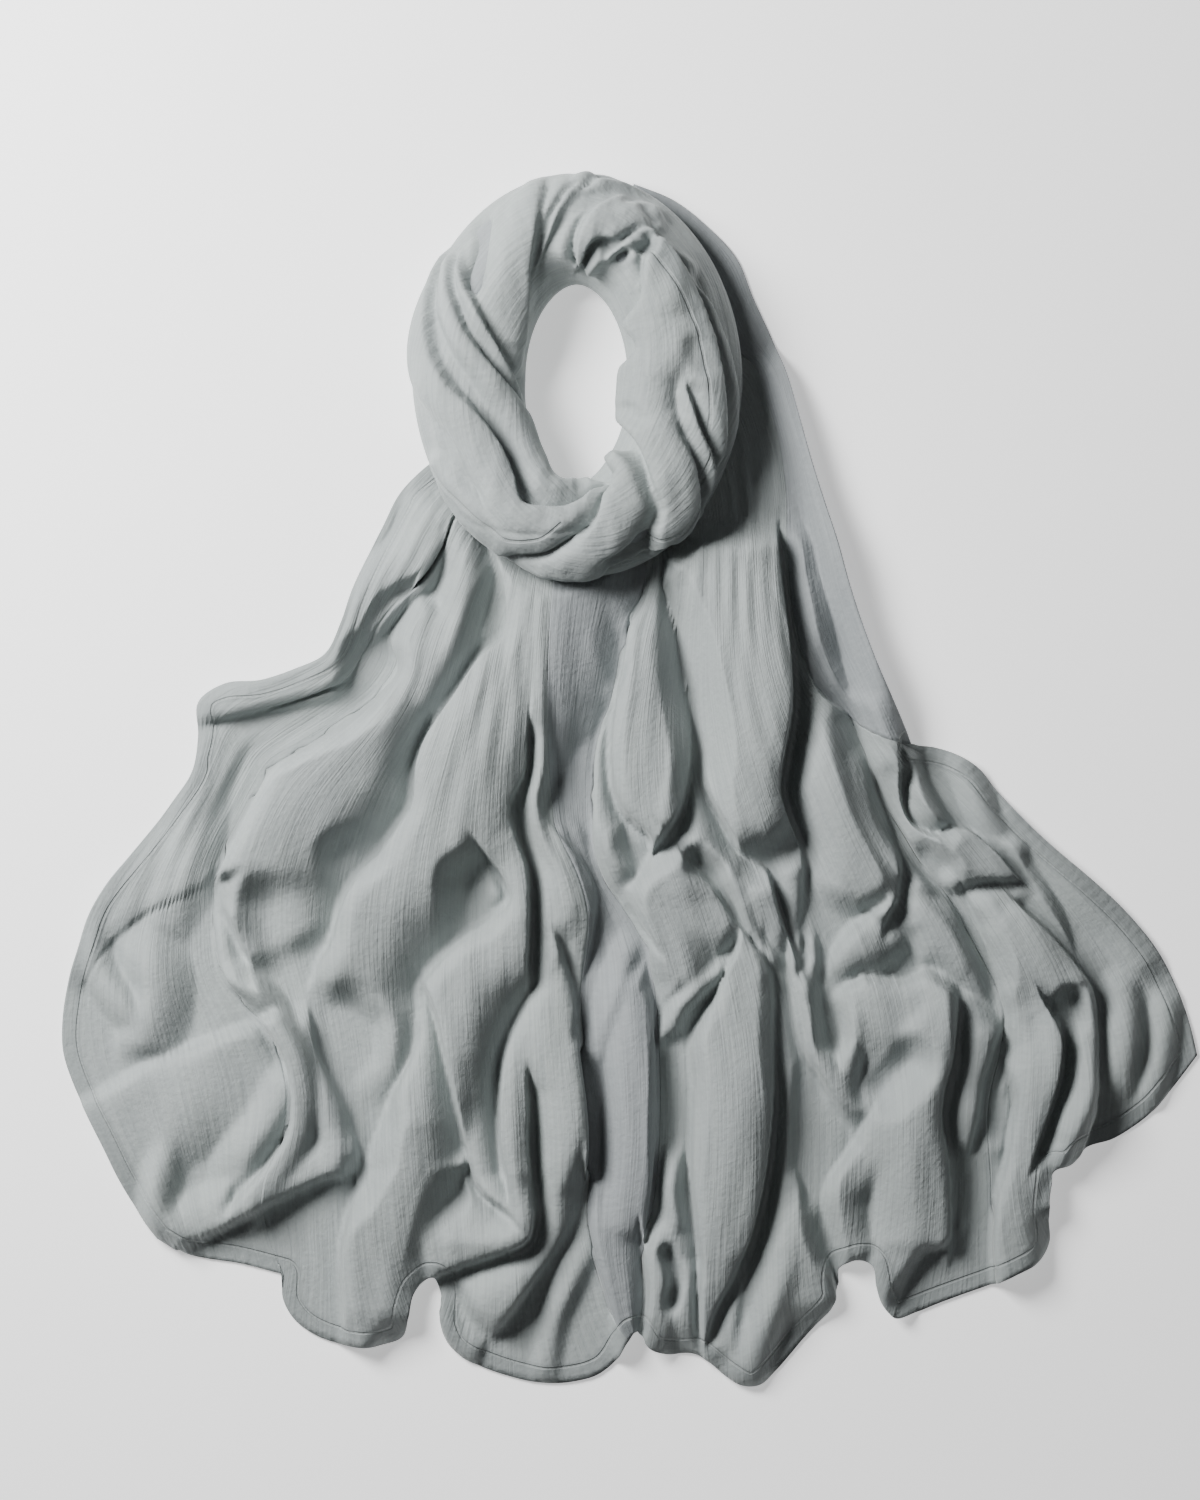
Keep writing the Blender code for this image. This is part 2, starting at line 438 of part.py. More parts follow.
def seam(names, rows, step_in):
    """One long edge of a panel, one point a row, moved sideways off the seam by step_in mm."""
    if len(names) == 1:
        line = sampled(plan_line(names[0]), rows)
    else:
        first = BACK_INNER_ROWS if names[0] == "back_inner" else BACK_ROWS
        upper = sampled(plan_line(names[0]), first)
        lower = sampled(plan_line(names[1]), rows - first)
        line = np.vstack([upper[:-1], lower])
    heading = np.gradient(line, axis=0)
    heading /= np.linalg.norm(heading, axis=1)[:, None]
    leftward = np.stack([heading[:, 1], -heading[:, 0]], axis=1)
    return line + leftward * step_in * MM / PLAN_UNIT


def panel_plan(left, right, top, bottom, columns, rows):
    """A net of plan points inside four edges, blended from all four."""
    west = seam(left, rows, SEAM_GAP / 2)
    east = seam(right, rows, -SEAM_GAP / 2)
    north = sampled([west[0], east[0]] if top == "back_top" else plan_line(top), columns)
    south = sampled(plan_line(bottom), columns)
    north[0], north[-1] = west[0], east[0]
    south[0], south[-1] = west[-1], east[-1]
    u = np.linspace(0, 1, columns + 1)[None, :, None]
    v = np.linspace(0, 1, rows + 1)[:, None, None]
    ruled_across = west[:, None] * (1 - u) + east[:, None] * u
    ruled_down = north[None] * (1 - v) + south[None] * v
    corners = ((north[0] * (1 - u) + north[-1] * u) * (1 - v) + (south[0] * (1 - u) + south[-1] * u) * v)
    return relaxed(ruled_across + ruled_down - corners)


def relaxed(net, rounds=160):
    """The same net with its inner points moved until no cell folds over at a notch in the hem."""
    net = net.copy()
    for _ in range(rounds):
        by_column = (net[1:-1, 2:] - net[1:-1, :-2]) / 2
        by_row = (net[2:, 1:-1] - net[:-2, 1:-1]) / 2
        alpha = (by_row ** 2).sum(axis=2, keepdims=True)
        beta = (by_row * by_column).sum(axis=2, keepdims=True)
        gamma = (by_column ** 2).sum(axis=2, keepdims=True)
        diagonal = (net[2:, 2:] - net[2:, :-2] - net[:-2, 2:] + net[:-2, :-2]) / 2
        target = (alpha * (net[1:-1, 2:] + net[1:-1, :-2]) + gamma * (net[2:, 1:-1] + net[:-2, 1:-1])
                  - beta * diagonal) / (2 * (alpha + gamma))
        net[1:-1, 1:-1] += 0.7 * (target - net[1:-1, 1:-1])
    return net


def evened(net):
    """Heights averaged with their neighbours once, so that each fold keeps a few faces."""
    padded = np.pad(net, 1, mode="edge")
    rows = (padded[:-2] + 2 * padded[1:-1] + padded[2:]) / 4
    return (rows[:, :-2] + 2 * rows[:, 1:-1] + rows[:, 2:]) / 4


def walled_grid(name, columns, rows, outer, inner, material, collection):
    """A grid pushed out to the outer points, and extruded back to the inner ones."""
    bpy.ops.mesh.primitive_grid_add(x_subdivisions=columns, y_subdivisions=rows, size=2)
    obj = bpy.context.active_object
    obj.name = name
    obj.data.name = name
    mesh = bmesh.new()
    mesh.from_mesh(obj.data)
    spots = {}
    for vertex in mesh.verts:
        column = round((vertex.co.x + 1) / 2 * columns)
        row = round((1 - vertex.co.y) / 2 * rows)
        spots[vertex] = (row, column)
    grown = bmesh.ops.extrude_face_region(mesh, geom=mesh.faces[:])
    twins = [item for item in grown["geom"] if isinstance(item, bmesh.types.BMVert)]
    by_place = {tuple(round(c, 5) for c in vertex.co): spot for vertex, spot in spots.items()}
    for vertex in twins:
        row, column = by_place[tuple(round(c, 5) for c in vertex.co)]
        vertex.co = outer[row, column]
    for vertex, (row, column) in spots.items():
        vertex.co = inner[row, column]
    bmesh.ops.recalc_face_normals(mesh, faces=mesh.faces[:])
    if mesh.calc_volume(signed=True) < 0:
        bmesh.ops.reverse_faces(mesh, faces=mesh.faces[:])
    mesh.to_mesh(obj.data)
    mesh.free()
    obj.data.materials.append(material)
    obj.data.shade_smooth()
    for owner in list(obj.users_collection):
        owner.objects.unlink(obj)
    collection.objects.link(obj)
    return obj


def build_panel(row, material, collection):
    """One spread panel: a wall that follows its folds, with its troughs flat on the surface."""
    name, left, right, top, bottom, columns, rows = row
    plan = panel_plan(left, right, top, bottom, columns, rows)
    across, down = plan[..., 0].ravel(), plan[..., 1].ravel()
    height = np.minimum(fold_heights(across, down), under_ring_limit(across, down))
    height = evened(height.reshape(plan.shape[:2]))
    height = np.minimum(height, under_ring_limit(across, down).reshape(height.shape))
    height = np.maximum(height, CLOTH)
    x, y = on_scene(plan[..., 0], plan[..., 1])
    slope_down = np.gradient(height * MM, axis=0) / np.linalg.norm(np.gradient(plan, axis=0) * PLAN_UNIT, axis=2)
    slope_across = np.gradient(height * MM, axis=1) / np.linalg.norm(np.gradient(plan, axis=1) * PLAN_UNIT, axis=2)
    steepness = np.minimum(np.sqrt(1 + slope_down ** 2 + slope_across ** 2), STEEPEST)
    under = np.maximum(height - CLOTH * steepness, 0)
    under[height - CLOTH < 0.6] = 0
    outer = np.stack([x, y, height * MM], axis=2)
    inner = np.stack([x, y, under * MM], axis=2)
    return walled_grid(name, columns, rows, outer, inner, material, collection)


def tube_point(bearing, over, lift):
    """A point of the ring's outside, lift mm off the wound core."""
    centre, outward = ring_place(bearing)
    half = table_at(RING_WIDTHS, (bearing + 45) % 360 - 45) - BAND_LIFT + lift
    angle = math.radians(over)
    flat = centre + outward * half * math.cos(angle)
    height = RING_WIDEST + (RING_TOP - RING_WIDEST + lift) * math.sin(angle)
    x = (RING_MIDDLE[0] - PLAN_MIDDLE[0]) * PLAN_UNIT + flat[0] * MM
    y = (PLAN_MIDDLE[1] - RING_MIDDLE[1]) * PLAN_UNIT + flat[1] * MM
    return x, y, height * MM


def build_core(material, collection):
    """The hidden turns of the ring as one rounded solid with a flat underside."""
    bpy.ops.mesh.primitive_torus_add(major_segments=RING_STEPS, minor_segments=RING_ROUND,
                                     major_radius=1.0, minor_radius=0.25)
    obj = bpy.context.active_object
    obj.name = "ring_core"
    obj.data.name = "ring_core"
    for vertex in obj.data.vertices:
        bearing = math.degrees(math.atan2(vertex.co.y, vertex.co.x))
        around = math.hypot(vertex.co.x, vertex.co.y) - 1.0
        over = math.degrees(math.atan2(vertex.co.z, around))
        if over > -1:
            vertex.co = tube_point(bearing, max(over, 0), 0)
            continue
        centre, outward = ring_place(bearing)
        half = table_at(RING_WIDTHS, (bearing + 45) % 360 - 45) - BAND_LIFT
        foot = half - (32.0 - RING_FOOT)
        from_side = min(-over, 180 + over) / 60
        reach = half + (foot - half) * min(from_side, 1)
        if from_side > 1:
            reach = foot * math.cos(math.radians((min(-over, 180 + over) - 60) * 3))
        flat = centre + outward * math.copysign(reach, around)
        height = RING_WIDEST * max(1 - from_side, 0)
        vertex.co = ((RING_MIDDLE[0] - PLAN_MIDDLE[0]) * PLAN_UNIT + flat[0] * MM,
                     (PLAN_MIDDLE[1] - RING_MIDDLE[1]) * PLAN_UNIT + flat[1] * MM, height * MM)
    obj.data.materials.append(material)
    obj.data.shade_smooth()
    for owner in list(obj.users_collection):
        owner.objects.unlink(obj)
    collection.objects.link(obj)
    return obj


def band_lift(share, free_side, pleats, fade):
    """How far a band's outside stands off the core, in mm, at a share of the way across it."""
    towards_free = share if free_side == "inner" else 1 - share
    slope = BAND_TUCKED_EDGE + (BAND_FREE_EDGE - BAND_TUCKED_EDGE) * towards_free
    wave = 0.9 * abs(math.sin(math.pi * pleats * share)) if pleats > 1 else 0
    return BAND_BACK + 0.9 + (slope - 0.9 + wave) * fade


def build_band(row, material, collection):
    """One visible stretch of the ring: a wall over the core, low where the next band covers it."""
    name, start, end, low_edges, high_edge, free_side, pleats, columns = row
    step = 360 / RING_STEPS
    rows = round((end - start) / step)
    outer = np.zeros((rows + 1, columns + 1, 3))
    inner = np.zeros_like(outer)
    edge_gap = math.degrees(SEAM_GAP / 26.0)
    for i in range(rows + 1):
        bearing = start + i * step + END_GAP * ((i == 0) - (i == rows))
        low = max(table_at(BAND_EDGES[edge], bearing) for edge in low_edges) + edge_gap
        high = table_at(BAND_EDGES[high_edge], bearing) - edge_gap
        fade = min(1.0, 0.35 + 0.65 * min(i, rows - i) / 3)
        for j in range(columns + 1):
            share = j / columns
            over = low + (high - low) * share
            outer[i, j] = tube_point(bearing, over, band_lift(share, free_side, pleats, fade))
            inner[i, j] = tube_point(bearing, over, BAND_BACK)
    return walled_grid(name, columns, rows, outer, inner, material, collection)


def main():
    clear_scene()
    collection = bpy.data.collections.new("laid_headscarf")
    bpy.context.scene.collection.children.link(collection)
    front = cloth_material("scarf_cloth", FRONT_GREY)
    shade = cloth_material("scarf_cloth_inside", SHADE_GREY)
    build_core(shade, collection)
    for row in BANDS:
        build_band(row, front, collection)
    for row in PANELS:
        build_panel(row, shade if row[0] in ("middle_stretch", "back_stretch") else front, collection)


main()
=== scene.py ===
import bpy
import numpy as np
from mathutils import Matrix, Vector


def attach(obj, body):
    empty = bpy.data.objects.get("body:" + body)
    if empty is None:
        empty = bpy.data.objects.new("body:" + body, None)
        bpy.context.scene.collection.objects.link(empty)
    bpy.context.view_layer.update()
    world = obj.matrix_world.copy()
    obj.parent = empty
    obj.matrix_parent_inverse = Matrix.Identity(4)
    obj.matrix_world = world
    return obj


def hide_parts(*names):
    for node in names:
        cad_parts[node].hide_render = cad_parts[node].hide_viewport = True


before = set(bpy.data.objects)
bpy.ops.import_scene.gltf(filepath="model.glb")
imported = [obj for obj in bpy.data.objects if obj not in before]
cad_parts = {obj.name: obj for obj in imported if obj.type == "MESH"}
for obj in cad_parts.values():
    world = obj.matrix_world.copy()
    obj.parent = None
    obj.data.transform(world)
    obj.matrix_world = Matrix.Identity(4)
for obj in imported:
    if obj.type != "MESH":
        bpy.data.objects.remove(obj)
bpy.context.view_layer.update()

# The scarf's plan: units across and down, 0.6 mm each; heights are in millimetres above the table
plan = dict(unit=0.0006, middle=(629.9, 782.0), mm=0.001)

# What a user would change about how the cloth lies
lay = dict(fineness=8, foldScale=1.6, lowest=1.3, swell=3.0, swellMiddle=(610, 880), swellReach=(545, 520),
           wall=0.8, smoothing=1, crinkle=0.38, roll=1.2, seed=11)
# How each fold is rounded: shares of the widths and heights in the rows of folds below
spreadFolds = dict(rise=0.36, fall=1.7, edge=0.8, crestAt=0.18, drop=1.6, sharpness=5.0, fade=18.0,
                   lean=0.42, leanReach=26.0, leanMost=13.0, gap=0.6, gapReach=9.0, gapTall=13.0, spread=110.0, steep=0.27)
ringFolds = dict(rise=0.5, fall=1.15, edge=0.85, crestAt=0.22, drop=1.6, sharpness=5.0, fade=9.0, lean=0.7,
                 leanReach=10.0, leanMost=5.0, gap=0.7, gapReach=7.0, gapTall=4.5, spread=26.0, steep=0.5)
hem = dict(width=11.0, rise=0.5, pucker=0.3, puckerLength=7.0, stitchLine=9.2)

# The ring is an oval tube of wound cloth, in millimetres
ring = dict(middle=(577.0, 382.0), halfAcross=64.5, halfDown=90.0, top=39.0, widest=15.0, cloth=5.0, flat=4.0,
            bearings=330, oversTop=130, oversUnder=9, overStart=-42.0, overEnd=222.0, turnsBearings=220,
            turnsOvers=56, tuck=15.8, rising=0.9, layerScale=2.1, clothRound=500.0, clothOver=0.55,
            clothSlant=0.12)
ringWidths = ((-45, 33.0), (0, 35.0), (45, 34.0), (90, 33.6), (135, 34.0), (180, 34.5), (225, 31.0),
               (270, 28.0), (315, 33.0), (360, 35.0), (405, 34.0))

planEdges = {
    "left_hem": ((408, 482), (393, 508), (372, 548), (350, 598), (332, 648), (300, 667), (262, 680),
     (228, 683), (206, 692), (198, 708), (200, 730), (195, 755), (190, 778), (150, 832), (100, 895),
     (82, 940), (68, 985), (62, 1040), (74, 1085), (100, 1138), (128, 1195), (158, 1238)),
    "left_seam": ((448, 530), (434, 572), (404, 606), (388, 640), (394, 672), (350, 713), (300, 745),
     (270, 763), (247, 803), (222, 853), (215, 880), (213, 930), (222, 980), (248, 1008), (272, 1040),
     (287, 1085), (284, 1130), (270, 1165), (263, 1200), (270, 1240), (283, 1274)),
    "middle_left": ((553, 585), (550, 625), (548, 700), (550, 780), (558, 830), (576, 870), (588, 910),
     (586, 955), (581, 1000), (585, 1050), (593, 1108), (594, 1152), (588, 1192), (588, 1235), (599, 1278),
     (612, 1318), (628, 1338)),
    "middle_right": ((646, 578), (638, 603), (625, 626), (618, 665), (609, 706), (595, 742), (590, 790),
     (592, 840), (604, 880), (628, 915), (646, 950), (655, 990), (659, 1050), (660, 1110), (657, 1170),
     (650, 1222), (641, 1248), (643, 1290), (638, 1330)),
    "back_seam": ((750, 360), (764, 395), (778, 440), (786, 490), (788, 550), (793, 610), (806, 660),
     (822, 692), (848, 716)),
    "right_seam": ((848, 716), (868, 760), (885, 803), (905, 838), (927, 872), (948, 896), (967, 930),
     (983, 962), (1000, 995), (1004, 1030), (995, 1070), (988, 1110), (989, 1160), (991, 1200), (990, 1240),
     (993, 1283)),
    "back_outer": ((634, 184), (660, 192), (690, 213), (730, 248), (747, 285), (768, 330), (788, 380),
     (802, 432), (817, 485), (835, 540), (852, 600), (872, 655), (893, 703), (912, 745)),
    "right_hem": ((912, 745), (945, 750), (977, 767), (1002, 797), (1045, 840), (1100, 887), (1135, 922),
     (1163, 960), (1186, 1012), (1197, 1055)),
}
planEnds = {
    "left_low_hem": ((158, 1238), (190, 1255), (240, 1263), (283, 1274)),
    "front_left_hem": ((283, 1274), (284, 1302), (303, 1327), (338, 1343), (376, 1345), (404, 1335),
     (411, 1305), (418, 1286), (434, 1276), (441, 1290), (441, 1325), (457, 1353), (500, 1373), (552, 1383),
     (602, 1372), (628, 1338)),
    "middle_hem": ((628, 1338), (633, 1331), (638, 1330)),
    "front_right_hem": ((638, 1330), (650, 1347), (672, 1354), (698, 1354), (722, 1373), (750, 1387),
     (772, 1374), (806, 1335), (836, 1300), (838, 1268), (868, 1259), (878, 1295), (896, 1317), (946, 1300),
     (993, 1283)),
    "right_low_hem": ((993, 1283), (1040, 1258), (1050, 1235), (1047, 1205), (1053, 1168), (1068, 1167),
     (1083, 1150), (1112, 1139), (1147, 1116), (1172, 1088), (1197, 1055)),
    "back_hem": ((848, 716), (870, 732), (892, 741), (912, 745)),
}
panelTops = {"left_top": (203, 224), "front_left_top": (224, 260), "middle_top": (260, 297),
              "front_right_top": (297, 372), "back_inner": (72, 12)}
edgeStarts = {"left_hem": 203, "left_seam": 224, "middle_left": 260, "middle_right": 297,
               "back_seam": 12}
panels = (
    ("end_left_outer", ("left_hem",), ("left_seam",), "left_top", "left_low_hem", 15, 28),
    ("end_left_front", ("left_seam",), ("middle_left",), "front_left_top", "front_left_hem", 22, 28),
    ("middle_stretch", ("middle_left",), ("middle_right",), "middle_top", "middle_hem", 8, 28),
    ("end_right_front", ("middle_right",), ("back_seam", "right_seam"), "front_right_top",
     "front_right_hem", 24, 28),
    ("end_right_outer", ("right_seam",), ("right_hem",), "back_hem", "right_low_hem", 14, 18),
    ("back_stretch", ("back_inner", "back_seam"), ("back_outer",), "back_top", "back_hem", 7, 15),
)
backRows = 10
backInnerRows = 5

# Folds with one steep side. run: the steep side on the plan, from the ring down; body: the side of
# a walker along the run on which the fold lies; rise and fall: plan units; height: mm at the start,
# the middle and the end
rimFolds = (
    # name, body, rise, fall, height, run
    ("shoulder_rim", "left", 15, 85, (12, 21, 12), ((404, 606), (388, 640), (394, 672), (350, 713),
     (300, 745), (270, 763), (247, 803), (222, 853), (216, 874), (222, 905), (243, 955))),
    ("ribbon_edge", "right", 12, 34, (8, 13, 9), ((455, 522), (444, 552), (424, 582), (398, 604),
     (378, 630), (362, 662), (346, 684), (326, 694))),
    ("ribbon_low_edge", "right", 10, 28, (8, 9, 7), ((340, 688), (300, 702), (255, 714), (212, 724))),
    ("outer_rope", "left", 12, 22, (12, 18, 10), ((214, 915), (213, 945), (222, 980), (248, 1008),
     (268, 1036), (283, 1062), (288, 1095), (284, 1130), (262, 1164), (238, 1194))),
    ("outer_layer_edge", "right", 9, 50, (5, 7, 4), ((212, 884), (180, 900), (145, 917), (112, 945),
     (92, 975))),
    ("left_bowl_edge", "right", 11, 70, (4, 8, 7), ((84, 1099), (115, 1082), (150, 1061), (180, 1049),
     (215, 1036), (252, 1021))),
    ("smile_fold", "left", 12, 32, (7, 12, 10), ((190, 1247), (225, 1232), (255, 1216), (290, 1199),
     (320, 1184), (357, 1172))),
    ("inner_flap", "right", 13, 28, (8, 13, 10), ((316, 1025), (323, 1055), (338, 1085), (352, 1115),
     (361, 1163))),
    ("second_fold", "left", 15, 82, (11, 21, 12), ((492, 560), (501, 600), (500, 632), (478, 652),
     (452, 690), (424, 732), (412, 765), (409, 800), (396, 822), (376, 850), (350, 880), (338, 905),
     (330, 935), (314, 968))),
    ("third_fold", "left", 14, 58, (12, 20, 12), ((486, 858), (502, 880), (507, 900), (490, 913),
     (462, 934), (437, 958), (417, 986), (418, 1010), (414, 1040), (398, 1076), (383, 1115), (366, 1158),
     (350, 1200), (340, 1240), (338, 1275), (340, 1315))),
    ("fourth_fold", "left", 12, 50, (9, 17, 9), ((424, 988), (434, 1012), (441, 1042), (452, 1090),
     (461, 1132), (467, 1165), (478, 1190), (500, 1208))),
    ("fifth_fold", "left", 11, 40, (8, 15, 14), ((530, 995), (512, 1025), (501, 1058), (497, 1100),
     (498, 1145), (503, 1172))),
    ("bulb_fold", "right", 13, 44, (8, 15, 10), ((531, 1090), (533, 1140), (535, 1185), (538, 1218),
     (530, 1243), (500, 1257), (442, 1277))),
    ("sixth_fold", "right", 14, 44, (8, 17, 9), ((562, 944), (577, 990), (585, 1050), (593, 1108),
     (594, 1152), (586, 1190), (571, 1230), (547, 1270), (519, 1310), (490, 1345))),
    ("hem_fold", "left", 11, 36, (6, 9, 7), ((586, 1192), (588, 1235), (599, 1278), (611, 1318),
     (614, 1350))),
    ("middle_strip", "right", 11, 34, (7, 14, 9), ((651, 985), (657, 1030), (659, 1100), (656, 1170),
     (648, 1228))),
    ("middle_panel", "right", 12, 40, (4, 9, 6), ((560, 830), (585, 862), (598, 900), (592, 950),
     (581, 1000))),
    ("middle_left_rim", "right", 12, 34, (8, 13, 10), ((530, 740), (528, 775), (514, 805), (520, 835),
     (531, 870), (533, 920), (530, 985))),
    ("small_strip", "left", 9, 22, (7, 11, 7), ((606, 716), (594, 742), (590, 790), (591, 840), (600, 872),
     (616, 896), (640, 925))),
    ("right_first", "left", 14, 62, (11, 19, 13), ((648, 575), (640, 603), (625, 626), (619, 662),
     (611, 705), (607, 750), (610, 788), (621, 815), (645, 838), (648, 852), (638, 872), (629, 890),
     (631, 910), (641, 934), (653, 985))),
    ("right_first_inner", "right", 10, 30, (5, 15, 13), ((663, 590), (674, 625), (681, 665), (689, 705),
     (691, 755), (687, 785), (680, 815), (664, 838))),
    ("broad_left", "left", 18, 95, (13, 21, 15), ((662, 556), (666, 600), (679, 645), (686, 690),
     (701, 742), (703, 785), (716, 815), (735, 845), (750, 857))),
    ("broad_right", "right", 16, 72, (13, 20, 9), ((782, 550), (789, 610), (795, 660), (796, 705),
     (790, 745), (784, 785), (790, 812), (804, 848), (806, 885), (803, 920), (800, 955))),
    ("right_second", "right", 14, 66, (8, 19, 15), ((806, 660), (822, 692), (848, 715), (866, 760),
     (880, 800), (895, 842), (902, 872), (900, 900), (893, 915))),
    ("right_second_tail", "left", 11, 34, (10, 14, 6), ((868, 912), (848, 928), (833, 948), (823, 978))),
    ("right_third", "right", 11, 36, (7, 12, 7), ((900, 850), (925, 880), (952, 900), (967, 930),
     (981, 960), (988, 985))),
    ("loop_top", "right", 11, 40, (12, 16, 10), ((902, 762), (902, 798), (912, 822), (935, 834), (962, 826),
     (990, 843), (1017, 874))),
    ("loop_under", "left", 11, 30, (12, 15, 11), ((852, 716), (870, 762), (885, 803), (905, 838),
     (927, 872), (945, 892), (975, 884), (1012, 882))),
    ("right_arm", "right", 13, 46, (10, 16, 11), ((1022, 905), (1050, 930), (1075, 958), (1094, 985),
     (1099, 1012), (1101, 1060), (1099, 1108), (1090, 1136))),
    ("right_arm_left", "left", 12, 50, (8, 14, 8), ((968, 900), (982, 932), (992, 960), (996, 990),
     (1004, 1015))),
    ("right_arch", "right", 11, 34, (9, 13, 8), ((1048, 1005), (1062, 1030), (1061, 1070), (1051, 1108),
     (1036, 1150))),
    ("right_hook", "left", 11, 36, (8, 12, 9), ((1006, 1075), (1013, 1098), (1008, 1130), (1003, 1160),
     (992, 1200), (989, 1240), (992, 1284))),
    ("cross_fold", "right", 14, 58, (11, 18, 10), ((838, 988), (865, 974), (900, 976), (926, 968),
     (950, 979), (959, 995), (959, 1030), (955, 1062), (947, 1092), (945, 1120), (951, 1155), (954, 1200),
     (953, 1241))),
    ("cross_vee", "left", 10, 20, (10, 14, 8), ((787, 950), (790, 1000), (799, 1050), (817, 1078),
     (834, 1106), (846, 1125))),
    ("cross_lower", "left", 11, 30, (8, 12, 8), ((864, 1120), (845, 1152), (822, 1190), (826, 1228),
     (834, 1256))),
    ("narrow_ess", "right", 11, 26, (8, 13, 9), ((958, 990), (985, 1006), (1001, 1026), (995, 1052),
     (985, 1082), (981, 1112), (976, 1134))),
    ("strip_left", "left", 14, 66, (12, 18, 10), ((728, 955), (715, 985), (702, 1010), (688, 1042),
     (690, 1080), (688, 1125), (688, 1165), (691, 1205), (698, 1255))),
    ("strip_right", "right", 14, 60, (10, 17, 9), ((768, 952), (773, 985), (774, 1050), (776, 1100),
     (771, 1160), (763, 1205), (752, 1243), (738, 1275), (722, 1305), (712, 1332))),
    ("knot_right", "right", 11, 30, (9, 13, 11), ((690, 858), (715, 885), (735, 915), (757, 942),
     (772, 962))),
    ("knot_far", "right", 11, 28, (11, 13, 7), ((745, 858), (768, 872), (778, 900), (786, 930),
     (800, 960))),
    ("corner_panel", "right", 12, 64, (6, 11, 7), ((801, 1178), (812, 1212), (829, 1258), (838, 1290))),
    ("small_hook", "left", 11, 22, (9, 11, 8), ((640, 1240), (645, 1290), (642, 1330))),
    ("hem_corner_left", "left", 11, 30, (7, 9, 6), ((698, 1262), (698, 1310), (700, 1345))),
    ("low_flap", "right", 10, 36, (6, 9, 6), ((952, 1240), (920, 1265), (904, 1300))),
)

